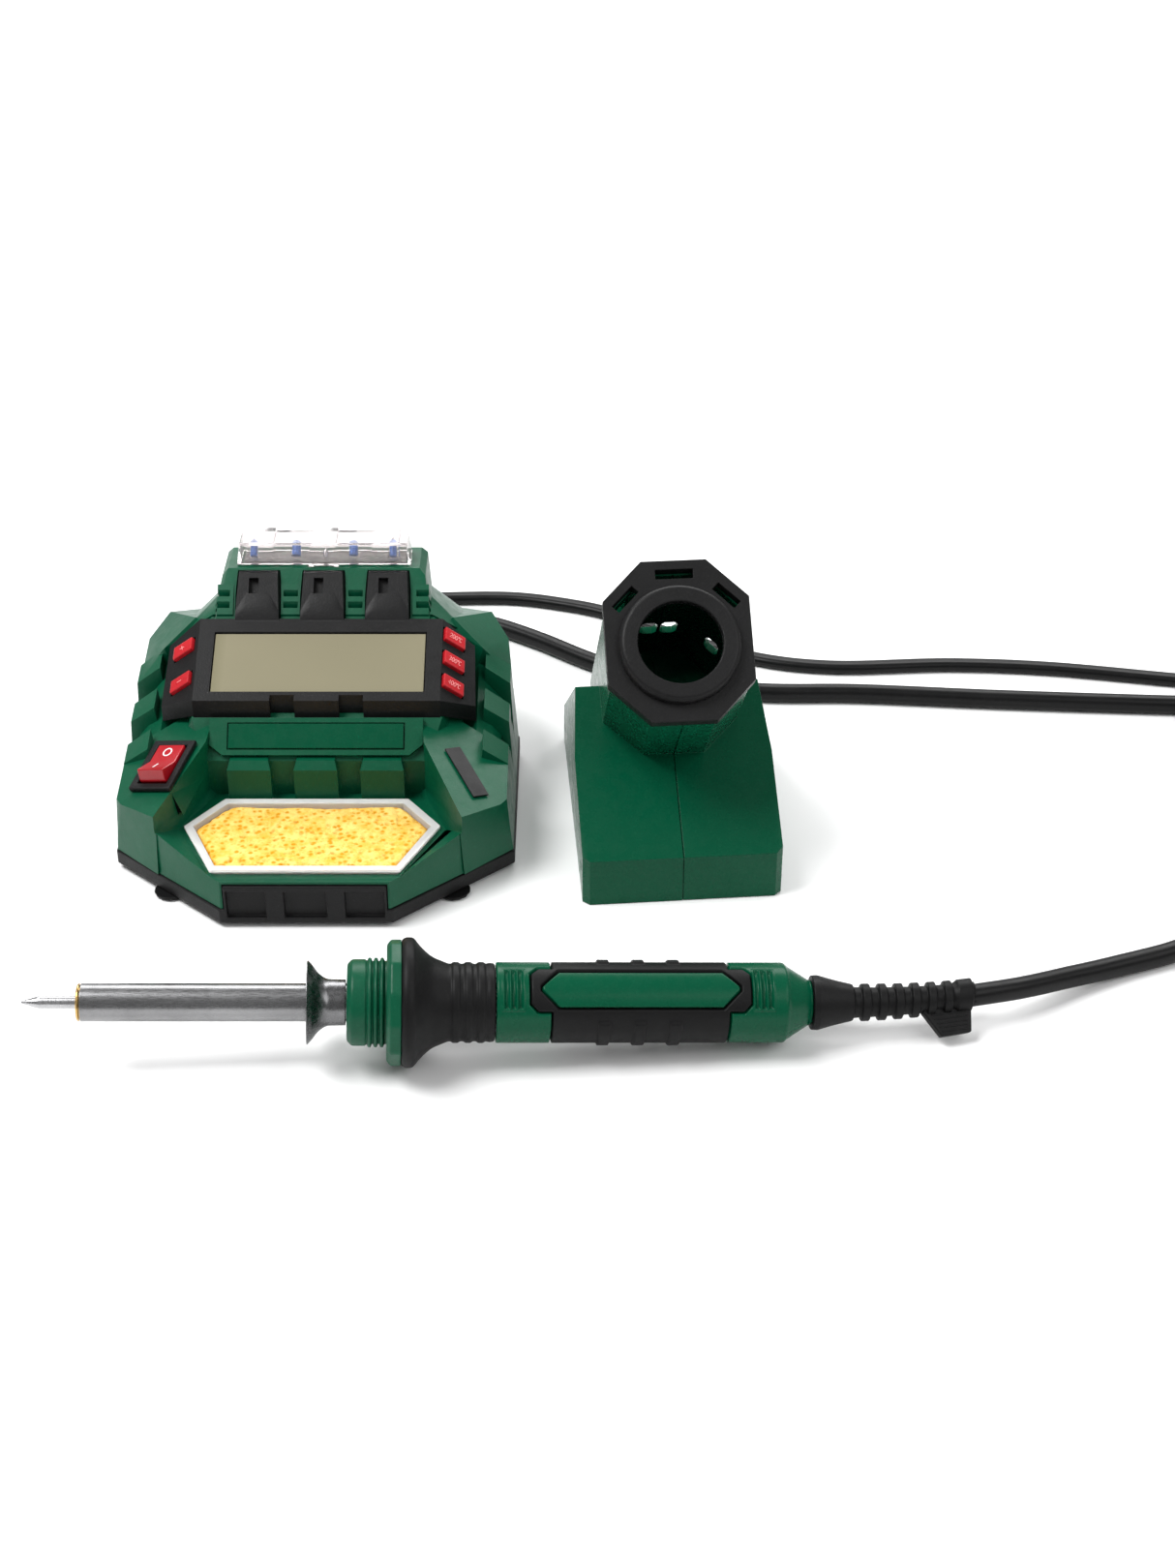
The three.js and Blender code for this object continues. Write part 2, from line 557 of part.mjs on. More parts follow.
function buildUnit() {
  const unit = new THREE.Group();
  unit.position.set(...UNIT_AT);
  let base = baseTray();
  let upper = unite(upperShell(), ...SCREWS.map(([x, y]) => boss(x, y)));
  for (const [x, y] of SCREWS) {
    base = base.subtract(screwHole(x, y));
    upper = upper.subtract(screwHole(x, y));
  }
  piece(unit, 'base_tray', base, BLACK);
  piece(unit, 'upper_shell', upper, GREEN);
  FEET.forEach(([x, y], i) => piece(unit, `foot_${i + 1}`,
    turned([[0, 0], [4.4, 0], [5, 0.6], [5, FOOT_H - GAP], [0, FOOT_H - GAP]], 14)
      .translate([x, y, 0]), RUBBER));
  SCREWS.forEach(([x, y], i) => piece(unit, `case_screw_${i + 1}`, screw(x, y), STEEL));
  piece(unit, 'display_bezel', displayBezel(), BLACK);
  piece(unit, 'display_window', displayWindow(), GLASS);
  piece(unit, 'lcd_module', lcdModule(), BOARD);
  piece(unit, 'control_board', controlBoard(), BOARD);
  piece(unit, 'power_board', powerBoard(), BOARD);
  for (const [name, side, x, y] of BUTTONS) {
    piece(unit, name, buttonBody(side, x, y, 0, BUTTON.above, BUTTON.below), RED);
  }
  piece(unit, 'switch_bezel', switchBezel(), BLACK);
  piece(unit, 'switch_rocker', rocker(), RED);
  piece(unit, 'sponge_tray', spongeTray(), CLEAR);
  piece(unit, 'sponge', sponge(), SPONGE);
  piece(unit, 'name_plate', namePlate(), GREEN);
  piece(unit, 'rating_strip', ratingStrip(), BLACK);
  piece(unit, 'tip_case_lid', tipLid(), CLEAR);
  piece(unit, 'tip_rack', tipRack(), CLEAR);
  SPARE_TIPS.forEach((tip, i) => piece(unit, `spare_tip_${i + 1}`, spareTip(tip), BLUE));
  for (const gland of GLANDS) {
    piece(unit, gland.name, moved(glandBody(gland), glandFrame(gland)), RUBBER);
  }
  return unit;
}

// Blank strip lying on the right shoulder, mirrored from the switch's place
function ratingStrip() {
  const z = new THREE.Vector3(PANEL_X, -PANEL_Y, 1).normalize();
  const y = new THREE.Vector3(-0.46, 0.86, 0.2).projectOnPlane(z).normalize();
  const x = new THREE.Vector3().crossVectors(y, z);
  const at = [44.4, -26, panelZ(44.4, -26)];
  return moved(block(-2.5, 2.5, -10.6, 9.6, GAP, 0.8),
    frameAt(at, x.toArray(), y.toArray(), z.toArray()));
}

// ---- iron holder -------------------------------------------------------------------------------
const tilt = THREE.MathUtils.degToRad(BARREL_TILT);
const BARREL_AXIS = [0, -Math.cos(tilt), Math.sin(tilt)];
const BARREL_FRAME = frameAt(MOUTH, [1, 0, 0], [0, Math.sin(tilt), Math.cos(tilt)], BARREL_AXIS);

// Front plate and barrel: an octagon that reaches further up than down, drawn in by inset
const PLATE = { half: 20.8, top: 25.4, foot: -22.2, corner: 11.5, low: -7.4, high: -3.6 };

function octagon(inset) {
  const half = PLATE.half - inset;
  const top = PLATE.top - inset;
  const foot = PLATE.foot + inset;
  const corner = PLATE.corner - 0.586 * inset;
  return [[half, foot + corner], [half, top - corner], [half - corner, top],
    [-half + corner, top], [-half, top - corner], [-half, foot + corner], [-half + corner, foot],
    [half - corner, foot]];
}

function holderFrontPlate() {
  const plate = extrude(octagon(0), PLATE.low, PLATE.high);
  const collar = turned([[0, PLATE.low], [17.3, PLATE.low], [17.3, -1.2], [16.1, 0], [0, 0]], 32);
  let body = unite(plate, collar).subtract(cylinder(BORE_R, -20, 5, 32));
  // three slots above the ring
  body = body.subtract(block(-5.4, 5.4, 19.9, 22.7, -20, 5));
  for (const side of [-1, 1]) {
    const at = frameAt([side * 14.3, 14.3, 0], [0.7071, -side * 0.7071, 0],
      [side * 0.7071, 0.7071, 0], [0, 0, 1]);
    body = body.subtract(moved(block(-4.2, 4.2, -1.3, 1.4, -20, 5), at));
  }
  return moved(body, BARREL_FRAME);
}

// The foot: a wedge that rises towards the back, and the barrel that grows out of it
const FOOT = { half: 29, chamfer: 2, front: 15, ridgeY: 47.9, ridgeZ: 44.9, back: 92, backZ: 12 };

function footBody(inset) {
  const half = FOOT.half - inset;
  return hull(bothSides([
    [half - FOOT.chamfer, inset, 0], [half - FOOT.chamfer, inset, FOOT.front - inset * 0.6],
    [half, FOOT.chamfer + inset, 0], [half, FOOT.chamfer + inset, FOOT.front + 1 - inset * 0.6],
    [half, 27.9, 32.4 - inset * 1.2],
    [half - 1.8, FOOT.ridgeY, FOOT.ridgeZ - inset * 1.3],
    [half - 1.8, FOOT.back - inset, FOOT.backZ - inset * 0.6], [half - 1.8, FOOT.back - inset, 0],
  ]));
}

const BARREL_LONG = 78;

// Vents through the barrel's upper walls: turn about its axis (degrees), offset, place along it
const BARREL_VENTS = [[0, -3.05, -54], [0, 3.05, -54], [-45, 0, -52], [45, 0, -52], [-45, 0, -17],
  [45, 0, -17]];
const BARREL_WALL = 0.9;         // the barrel lies this far inside the plate's outline

function barrelVent([turn, x, along]) {
  const shape = [[2.5, -3], [2.5, 3], [1.4, 4.8], [-1.4, 4.8], [-2.5, 3], [-2.5, -3], [-1.4, -4.8],
    [1.4, -4.8]];
  return moved(moved(extrude(shape, -30, -10), frameAt([x, 0, along], [1, 0, 0], [0, 0, 1],
    [0, -1, 0])).rotate([0, 0, turn]), BARREL_FRAME);
}

function holderShell(side) {
  const outer = unite(footBody(0), moved(
    extrude(octagon(BARREL_WALL), -BARREL_LONG, PLATE.low - GAP), BARREL_FRAME));
  const inner = unite(footBody(WALL).subtract(block(-FAR, FAR, -FAR, FAR, -FAR, -5)),
    moved(extrude(octagon(BARREL_WALL + WALL), -BARREL_LONG + WALL, 0), BARREL_FRAME));
  const below = block(-FAR, FAR, -FAR, FAR, -50, 0);
  const half = block(side < 0 ? -FAR : GAP / 2, side < 0 ? -GAP / 2 : FAR, -FAR, FAR, 0, FAR);
  let shell = cut(outer, inner, below, footFloor(), ...BARREL_VENTS.map(barrelVent))
    .intersect(half);
  for (const [y, z] of HOLDER_SCREWS) shell = shell.subtract(sideBore(y, z));
  return shell;
}

// Open underside: the wall is cut through to the table
const footFloor = () => block(-FOOT.half + WALL, FOOT.half - WALL, WALL, FOOT.back - WALL - 1.5,
  -1, 6);

const HOLDER_SCREWS = [[8, 8.5], [84, 8.5]];
const sideBore = (y, z) => cylinder(1.7, -FAR, FAR, 8).rotate([0, 90, 0]).translate([0, y, z]);

// A weight plate in the foot keeps the holder from tipping
function ballastPlate() {
  return block(-24, 24, 14, 78, 1, 4);
}

function buildHolder() {
  const holder = new THREE.Group();
  holder.position.set(...HOLDER_AT);
  holder.rotation.z = THREE.MathUtils.degToRad(HOLDER_YAW);
  piece(holder, 'holder_left_shell', holderShell(-1), GREEN);
  piece(holder, 'holder_right_shell', holderShell(1), GREEN);
  piece(holder, 'holder_front_plate', holderFrontPlate(), BLACK);
  piece(holder, 'holder_weight', ballastPlate(), STEEL);
  return holder;
}

// ---- soldering iron ----------------------------------------------------------------------------
// Turned pieces have their axis along +Z here, s measured from the tip
const HANDLE = { front: 122.6, back: 206, r: 9.75 };

function ironPieces() {
  const tip = turned([[0, 0], [0.35, 0.3], [1.65, 4.4], [1.65, 27], [2.6, 27], [2.6, 33],
    [0, 33]], 16);
  const endRing = ring([[1.95, 14.3], [4.9, 14.3], [4.95, 15], [4.3, 15], [4.3, 16.8],
    [1.95, 16.8]], 20);
  const tube = ring([[4.6, 15.3], [5, 15.3], [5, 98.4], [3.9, 98.4], [3.9, 17.2],
    [4.6, 17.2]], 24);
  const element = turned([[0, 34], [3.2, 34], [3.2, 121.5], [0, 121.5]], 12);
  const shield = ring([[5.3, 79], [5.3, 77], [9.9, 73.5], [10.65, 73.6], [10.6, 74.3],
    [6, 78.4], [6, 83.5], [5.3, 83.5]], 28);
  const nutProfile = [[5.3, 83.8], [9.6, 83.8], [11.25, 85.4]];
  for (const s of [87, 89.6, 92.2]) {
    nutProfile.push([11.25, s - 0.9], [11.7, s - 0.5], [11.7, s + 0.5], [11.25, s + 0.9]);
  }
  const nut = ring([...nutProfile, [11.25, 94.1], [5.3, 94.1]], 24);
  const flange = ring([[5.3, 94.4], [15.6, 94.4], [16.6, 95.2], [16.6, 97.6], [5.3, 97.6]], 12);
  const guard = ring([[5.3, 97.9], [16.6, 97.9], [17.05, 98.9], [17.05, 101.1], [14.6, 102.9],
    [12, 105.7], [10.8, 108.7], [10.4, 110.2], [10.4, 121.3], [10.1, 122.3], [5.3, 122.3]], 28);
  return { tip, endRing, tube, element, shield, nut, flange, guard };
}

const GRIP = { front: 132.2, sleeve0: 136.8, sleeve1: 183.5, back: 188.3, r: 10.6 };

// Direction that the window in the grip faces, degrees above level
const WINDOW_TURN = 59;
const GRIP_WINDOW = { halfLong: 25, shoulder: 21.2, halfWide: 5.3, frame: 2.4 };

// The long hexagon of the window, drawn in by inset, as a solid from low to high off the axis
function gripWindow(inset, low, high) {
  const { halfLong, shoulder, halfWide } = GRIP_WINDOW;
  const tip = halfLong - inset * 1.25;
  const flat = shoulder - inset * 0.5;
  const wide = halfWide - inset;
  const turn = THREE.MathUtils.degToRad(WINDOW_TURN);
  const middle = (GRIP.front + GRIP.back) / 2;
  return moved(extrude([[-tip, 0], [-flat, -wide], [flat, -wide], [tip, 0], [flat, wide],
    [-flat, wide]], low, high), frameAt([0, 0, middle], [0, 0, 1],
    [Math.cos(turn), -Math.sin(turn), 0], [Math.sin(turn), Math.cos(turn), 0]));
}

// The sleeve's place in the handle: a band all round, and the frame of the window
function gripSeat(inner, outer, grow) {
  const { sleeve0, sleeve1 } = GRIP;
  const band = ring([[inner, sleeve0 - grow], [outer, sleeve0 - grow], [outer, sleeve1 + grow],
    [inner, sleeve1 + grow]], 24);
  const { front, back } = HANDLE;
  const whole = ring([[inner, front], [outer, front], [outer, back], [inner, back]], 24);
  return unite(band, whole.intersect(gripWindow(-GRIP_WINDOW.frame - grow, 4, 30)));
}

function handleShell() {
  const { front, back, r } = HANDLE;
  return turned([[0, front], [r, front], [r, 199.4], [6.1, back], [0, back]], 24)
    .subtract(gripSeat(9.1, 20, GAP));
}

function gripSleeve() {
  const { r } = GRIP;
  const ribs = [150.7, 160, 169.3].map((s) => ring([[9.5, s - 1.7], [r + 0.5, s - 1.5],
    [r + 0.5, s + 1.5], [9.5, s + 1.7]], 24));
  return unite(gripSeat(9.4, r, 0), ...ribs).subtract(gripWindow(0, 4, 30));
}

function handlePanel() {
  const { front, back } = GRIP;
  const skin = ring([[9.4, front], [10.35, front], [10.35, back], [9.4, back]], 24);
  return skin.intersect(gripWindow(GAP, 4, 30));
}

// The strain relief is bent away from the user by the lead's pull, more and more from BEND.from on
const BEND = { from: 215, rate: 0.0028 };

function strainRelief() {
  const profile = [[0, 206.3], [7.3, 206.3], [7.35, 208.2], [4.95, 217.2]];
  for (let i = 0; i < 6; i += 1) {
    const s = 219.8 + i * 4.5;
    const r = 4.9 - i * 0.12;
    profile.push([r, s - 0.1], [r, s + 2], [r - 1.1, s + 2.5], [r - 1.1, s + 3.9]);
  }
  profile.push([4.2, 247.2], [4.2, 251], [0, 251]);
  return unite(turned(profile, 16), reliefFlag()).warp((point) => {
    point[1] -= BEND.rate * Math.max(0, point[2] - BEND.from) ** 2;
  });
}

// Flat tag on the end of the strain relief, turned from straight down towards the user
const TAG_TURN = -50;            // degrees

function reliefFlag() {
  const shape = new THREE.Shape([[-2, 236.2], [-3.4, 236], [-11, 241], [-10.7, 250.2],
    [-2, 250.4]].map(([x, s]) => new THREE.Vector2(x, s)));
  const tag = new THREE.ExtrudeGeometry(shape, { depth: 2.6, bevelEnabled: false });
  const stand = new THREE.Matrix4().makeBasis(new THREE.Vector3(1, 0, 0),
    new THREE.Vector3(0, 0, 1), new THREE.Vector3(0, -1, 0));
  return solid(tag.translate(0, 0, -1.3).applyMatrix4(stand)).rotate([0, 0, TAG_TURN]);
}

function buildIron() {
  const iron = new THREE.Group();
  const yaw = THREE.MathUtils.degToRad(IRON_YAW);
  const drop = THREE.MathUtils.degToRad(IRON_TILT);
  const along = new THREE.Vector3(Math.cos(yaw) * Math.cos(drop), Math.sin(yaw) * Math.cos(drop),
    -Math.sin(drop));
  const up = new THREE.Vector3(0, 0, 1).projectOnPlane(along).normalize();
  const across = new THREE.Vector3().crossVectors(along, up);
  const origin = new THREE.Vector3(...IRON_REST).addScaledVector(along, -GUARD_S);
  iron.applyMatrix4(frameAt(origin.toArray(), up.toArray(), across.toArray(), along.toArray()));
  const p = ironPieces();
  piece(iron, 'iron_tip', p.tip, STEEL);
  piece(iron, 'tip_end_ring', p.endRing, BRASS);
  piece(iron, 'heater_tube', p.tube, STEEL);
  piece(iron, 'heating_element', p.element, CERAMIC);
  piece(iron, 'heat_shield', p.shield, STEEL);
  piece(iron, 'front_nut', p.nut, GREEN);
  piece(iron, 'handle_flange', p.flange, GREEN);
  piece(iron, 'finger_guard', p.guard, RUBBER);
  piece(iron, 'handle_shell', handleShell(), GREEN);
  piece(iron, 'grip_sleeve', gripSleeve(), RUBBER);
  piece(iron, 'handle_panel', handlePanel(), GREEN);
  piece(iron, 'strain_relief', strainRelief(), RUBBER);
  return iron;
}

// ---- cords ---------------------------------------------------------------------------------------
// Routes are lists of points on the table, the cord's middle at its own half thickness
const MAINS_Z = MAINS_H / 2 + 0.1;
const LEAD_Z = LEAD_D / 2 + 0.1;
const MAINS_ROUTE = [
  [-80, 118.5, 13], [-80, 125, 12.7], [-79.4, 136, 7.6], [-76, 147, 3.3], [-68, 156, MAINS_Z],
  [-52, 161, MAINS_Z], [-33, 161.6, MAINS_Z], [-3, 162, MAINS_Z], [14, 158, MAINS_Z],
  [29, 152, MAINS_Z], [52, 136, MAINS_Z], [80, 119.5, MAINS_Z], [104, 114, MAINS_Z],
  [145, 115.5, MAINS_Z], [177, 113.2, MAINS_Z], [219, 105.5, MAINS_Z], [238, 102.2, MAINS_Z],
];
const LEAD_REAR_ROUTE = [
  [-58, 118.5, 13], [-58, 124, 12.7], [-57, 132, 9], [-52, 140, 4.6], [-42, 146, LEAD_Z],
  [-28, 146.8, LEAD_Z], [-10.5, 141.4, LEAD_Z], [6.4, 130.6, LEAD_Z], [26, 115, LEAD_Z],
  [52, 100.6, LEAD_Z], [81.7, 95.6, LEAD_Z], [110.4, 95.2, LEAD_Z], [157.5, 91.4, LEAD_Z],
  [215.4, 87.8, LEAD_Z], [228, 87.4, LEAD_Z],
];
const LEAD_FRONT_ROUTE = [
  [128.2, -72.7, 9.1], [134.6, -70.6, 8.4], [142, -68, 6.9], [152, -63.6, 4.6], [163, -58.2, LEAD_Z],
  [174.4, -52.4, LEAD_Z], [187.2, -46.6, LEAD_Z], [200, -38, LEAD_Z], [211, -25.6, LEAD_Z],
  [218.6, -11, LEAD_Z], [226, 3, LEAD_Z], [234.6, 12.6, LEAD_Z],
];

function cordTube(route, width, height, sides, steps) {
  const path = new THREE.CatmullRomCurve3(route.map((p) => new THREE.Vector3(...p)));
  const section = [];
  for (let i = 0; i < sides; i += 1) {
    const turn = ((i + 0.5) * 2 * Math.PI) / sides;
    section.push(new THREE.Vector2(width / 2 * Math.cos(turn), height / 2 * Math.sin(turn)));
  }
  return solid(new THREE.ExtrudeGeometry(new THREE.Shape(section), { extrudePath: path, steps,
    bevelEnabled: false }));
}

function coil({ at, mean, width, height }) {
  const inner = mean - width / 2;
  const outer = mean + width / 2;
  return ring([[inner, 0.9], [inner + 1, 0], [outer - 1, 0], [outer, 0.9], [outer, height - 1.4],
    [outer - 2, height], [inner + 2, height], [inner, height - 1.4]], 32)
    .translate([at[0], at[1], 0]);
}

// Two-pin plug, lying beside the mains coil with its pins pointing away from the cord
const PLUG_AT = [297.5, 163.8, 0];

function mainsPlug() {
  const body = hull([-1, 1].flatMap((s) => [
    [s * 3, 0, 4], [s * 3, 0, 10], [s * 12.6, 16, 0.6], [s * 12.6, 16, 13.4],
    [s * 13.4, 20, 0], [s * 13.4, 20, 14], [s * 17.5, 34, 0], [s * 17.5, 34, 14],
    [s * 17.5, 36, 0.6], [s * 17.5, 36, 13.4],
  ]));
  const pins = [-1, 1].map((s) => cylinder(2, 35, 54, 10).rotate([-90, 0, 0])
    .translate([s * 9.3, 0, 7]));
  return unite(body, ...pins).translate(PLUG_AT);
}

function buildCords() {
  const cords = new THREE.Group();
  piece(cords, 'mains_lead', cordTube(MAINS_ROUTE, MAINS_W, MAINS_H, 8, 34), RUBBER);
  piece(cords, 'mains_coil', coil(MAINS_COIL), RUBBER);
  piece(cords, 'mains_plug', mainsPlug(), BLACK);
  piece(cords, 'iron_lead_rear', cordTube(LEAD_REAR_ROUTE, LEAD_D, LEAD_D, 8, 28), RUBBER);
  piece(cords, 'iron_lead_coil', coil(LEAD_COIL), RUBBER);
  piece(cords, 'iron_lead_front', cordTube(LEAD_FRONT_ROUTE, LEAD_D, LEAD_D, 8, 14), RUBBER);
  return cords;
}

// ---- assembly --------------------------------------------------------------------------------------
const station = new THREE.Group();
station.position.set(...ORIGIN_SHIFT);
station.add(buildUnit(), buildHolder(), buildIron(), buildCords());

export default station;
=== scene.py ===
import math

import bmesh
import bpy
from mathutils import Matrix, Vector, noise


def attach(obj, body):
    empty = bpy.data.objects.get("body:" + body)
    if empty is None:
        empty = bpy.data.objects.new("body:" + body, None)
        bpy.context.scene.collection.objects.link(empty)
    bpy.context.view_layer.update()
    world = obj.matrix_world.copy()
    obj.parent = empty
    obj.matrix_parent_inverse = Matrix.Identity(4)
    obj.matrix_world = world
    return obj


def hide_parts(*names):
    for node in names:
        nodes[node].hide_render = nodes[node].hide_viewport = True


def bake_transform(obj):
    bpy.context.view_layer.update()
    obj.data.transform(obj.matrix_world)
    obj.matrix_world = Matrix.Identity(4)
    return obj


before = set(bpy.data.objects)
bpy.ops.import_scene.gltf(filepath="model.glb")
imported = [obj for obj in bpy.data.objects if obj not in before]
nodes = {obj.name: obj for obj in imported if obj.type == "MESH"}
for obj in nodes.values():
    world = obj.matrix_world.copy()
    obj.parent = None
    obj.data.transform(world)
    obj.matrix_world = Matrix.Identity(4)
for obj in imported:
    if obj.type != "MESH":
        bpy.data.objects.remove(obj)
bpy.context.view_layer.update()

MM = 0.001
ROW_SHIFT = (-2.4, -7.4, 0.0)      # the part's own frame to the row frame, mm
UNIT_AT = (-58.9, 25.1, 0.0)       # control unit's origin in the row frame, mm

# ---- camera ----
TARGET = Vector((0.0211, 0.0376, 0.0))
DISTANCE = 0.750
PITCH = math.radians(33)
FOCAL_PX = 2489
IMAGE_H = 1620
SENSOR = 36.0


def make_camera():
    data = bpy.data.cameras.new("camera")
    data.sensor_width = SENSOR
    data.sensor_fit = "AUTO"
    data.lens = SENSOR * FOCAL_PX / IMAGE_H
    data.clip_start = 0.01
    data.clip_end = 20
    cam = bpy.data.objects.new("camera", data)
    bpy.context.scene.collection.objects.link(cam)
    cam.location = TARGET + DISTANCE * Vector((0, -math.cos(PITCH), math.sin(PITCH)))
    cam.rotation_euler = (math.pi / 2 - PITCH, 0, 0)
    bpy.context.scene.camera = cam


make_camera()


# ---- materials ----
def node_tree(name):
    mat = bpy.data.materials.new(name)
    mat.use_nodes = True
    tree = mat.node_tree
    bsdf = tree.nodes["Principled BSDF"]
    coord = tree.nodes.new("ShaderNodeTexCoord")
    return mat, tree, bsdf, coord.outputs["Object"]


def set_sockets(node, values):
    for name, value in values.items():
        node.inputs[name].default_value = value


def add_noise(tree, coord, scale, detail=2.0, rough=0.5, stretch=None):
    node = tree.nodes.new("ShaderNodeTexNoise")
    set_sockets(node, {"Scale": scale, "Detail": detail, "Roughness": rough})
    if stretch is not None:
        mapping = tree.nodes.new("ShaderNodeMapping")
        mapping.inputs["Scale"].default_value = stretch
        tree.links.new(coord, mapping.inputs["Vector"])
        coord = mapping.outputs["Vector"]
    tree.links.new(coord, node.inputs["Vector"])
    return node.outputs["Fac"]


def remap(tree, value, low, high, to_low, to_high):
    node = tree.nodes.new("ShaderNodeMapRange")
    set_sockets(node, {"From Min": low, "From Max": high, "To Min": to_low, "To Max": to_high})
    tree.links.new(value, node.inputs["Value"])
    return node.outputs["Result"]


def mix_colors(tree, factor, a, b):
    node = tree.nodes.new("ShaderNodeMix")
    node.data_type = "RGBA"
    node.inputs["A"].default_value = (*a, 1)
    node.inputs["B"].default_value = (*b, 1)
    tree.links.new(factor, node.inputs["Factor"])
    return node.outputs["Result"]


def blend_in(tree, under, color, factor):
    """A flat color laid over the color socket under, by factor."""
    node = tree.nodes.new("ShaderNodeMix")
    node.data_type = "RGBA"
    node.inputs["B"].default_value = (*color, 1)
    tree.links.new(under, node.inputs["A"])
    tree.links.new(factor, node.inputs["Factor"])
    return node.outputs["Result"]


def scaled(color, k):
    return tuple(min(1.0, c * k) for c in color)


def add_bump(tree, bsdf, height, strength, distance, under=None):
    node = tree.nodes.new("ShaderNodeBump")
    set_sockets(node, {"Strength": strength, "Distance": distance})
    tree.links.new(height, node.inputs["Height"])
    if under is not None:
        tree.links.new(under, node.inputs["Normal"])
    tree.links.new(node.outputs["Normal"], bsdf.inputs["Normal"])
    return node.outputs["Normal"]


def moulded(name, color, rough, grain=0.35, grain_scale=2600, depth=0.00006, vary=0.12,
            coat=0.0, specular=0.5, wave=0.25):
    """Moulded plastic or rubber: spark-eroded grain, slow waviness, scuffs, uneven roughness."""
    mat, tree, bsdf, coord = node_tree(name)
    patch = add_noise(tree, coord, 38, 3)
    speck = add_noise(tree, coord, grain_scale * 0.6, 2)
    tone = mix_colors(tree, remap(tree, patch, 0.3, 0.7, 0, 1),
                      scaled(color, 1 - vary), scaled(color, 1 + vary))
    dust = blend_in(tree, tone, [min(1, c * 1.6 + 0.01) for c in color],
                    remap(tree, speck, 0.58, 0.8, 0, 0.30))
    tree.links.new(dust, bsdf.inputs["Base Color"])
    scuff = add_noise(tree, coord, 260, 5, 0.65)
    tree.links.new(remap(tree, scuff, 0.3, 0.75, rough - 0.06, rough + 0.09),
                   bsdf.inputs["Roughness"])
    slow = add_bump(tree, bsdf, add_noise(tree, coord, 90, 1), wave, 0.0004)
    add_bump(tree, bsdf, add_noise(tree, coord, grain_scale, 3, 0.6), grain, depth, slow)
    set_sockets(bsdf, {"Specular IOR Level": specular, "Coat Weight": coat})
    return mat


def metal(name, color, rough, stretch, lines=0.25, tint=None):
    """Turned or drawn metal: fine lines along or round the piece and slow tarnish."""
    mat, tree, bsdf, coord = node_tree(name)
    fine = add_noise(tree, coord, 1, 4, 0.7, stretch)
    stain = add_noise(tree, coord, 70, 4, 0.6)
    dark = tint if tint is not None else scaled(color, 0.72)
    tree.links.new(mix_colors(tree, remap(tree, stain, 0.35, 0.75, 0, 1), color, dark),
                   bsdf.inputs["Base Color"])
    tree.links.new(remap(tree, fine, 0.25, 0.75, max(0.04, rough - 0.1), rough + 0.14),
                   bsdf.inputs["Roughness"])
    add_bump(tree, bsdf, fine, lines, 0.00003)
    bsdf.inputs["Metallic"].default_value = 1.0
    return mat


def clear(name, tint, rough, alpha, haze=0.3, ior=1.3):
    """Clear moulded plastic: light passes through, edges gather a little colour, faint flow marks."""
    mat, tree, bsdf, coord = node_tree(name)
    set_sockets(bsdf, {"Base Color": (*tint, 1), "Transmission Weight": alpha, "IOR": ior})
    scuff = add_noise(tree, coord, 300, 5, 0.7)
    tree.links.new(remap(tree, scuff, 0.35, 0.8, rough, rough + 0.16), bsdf.inputs["Roughness"])
    add_bump(tree, bsdf, add_noise(tree, coord, 120, 2), haze, 0.0003)
    return mat


def sponge_material():
    """Cellulose: pale yellow walls, with painted shade in a deeper orange down in the pores and on
    the sides.
    """
    mat, tree, bsdf, coord = node_tree("sponge_cellulose")
    cells = tree.nodes.new("ShaderNodeTexVoronoi")
    cells.inputs["Scale"].default_value = 470
    tree.links.new(coord, cells.inputs["Vector"])
    big = add_noise(tree, coord, 230, 5, 0.7)
    tone = mix_colors(tree, remap(tree, big, 0.36, 0.60, 0, 1), (0.80, 0.47, 0.065),
                      (0.93, 0.66, 0.19))
    # painted shade: deeper orange down in the pores, where the cell walls shade them
    painted_pore_shade = blend_in(tree, tone, (0.66, 0.29, 0.012),
                     remap(tree, cells.outputs["Distance"], 0.20, 0.42, 0.95, 0.0))
    split = tree.nodes.new("ShaderNodeSeparateXYZ")
    tree.links.new(coord, split.inputs["Vector"])
    # painted shade: the sides below the top are darker orange, where they face away from the overhead
    # light
    sides = blend_in(tree, painted_pore_shade, (0.62, 0.235, 0.010),
                     remap(tree, split.outputs["Z"], 0.0150, 0.0164, 0.85, 0.0))
    tree.links.new(sides, bsdf.inputs["Base Color"])
    set_sockets(bsdf, {"Roughness": 0.95, "Specular IOR Level": 0.1})
    slow = add_bump(tree, bsdf, cells.outputs["Distance"], 0.7, 0.0007)
    add_bump(tree, bsdf, add_noise(tree, coord, 2600, 4, 0.7), 0.7, 0.0002, slow)
    return mat


LCD_LEFT = (UNIT_AT[0] - 31.5) * MM
LCD_SHADE = 0.0035                 # width of the painted shadow strip along the left edge, under the window frame
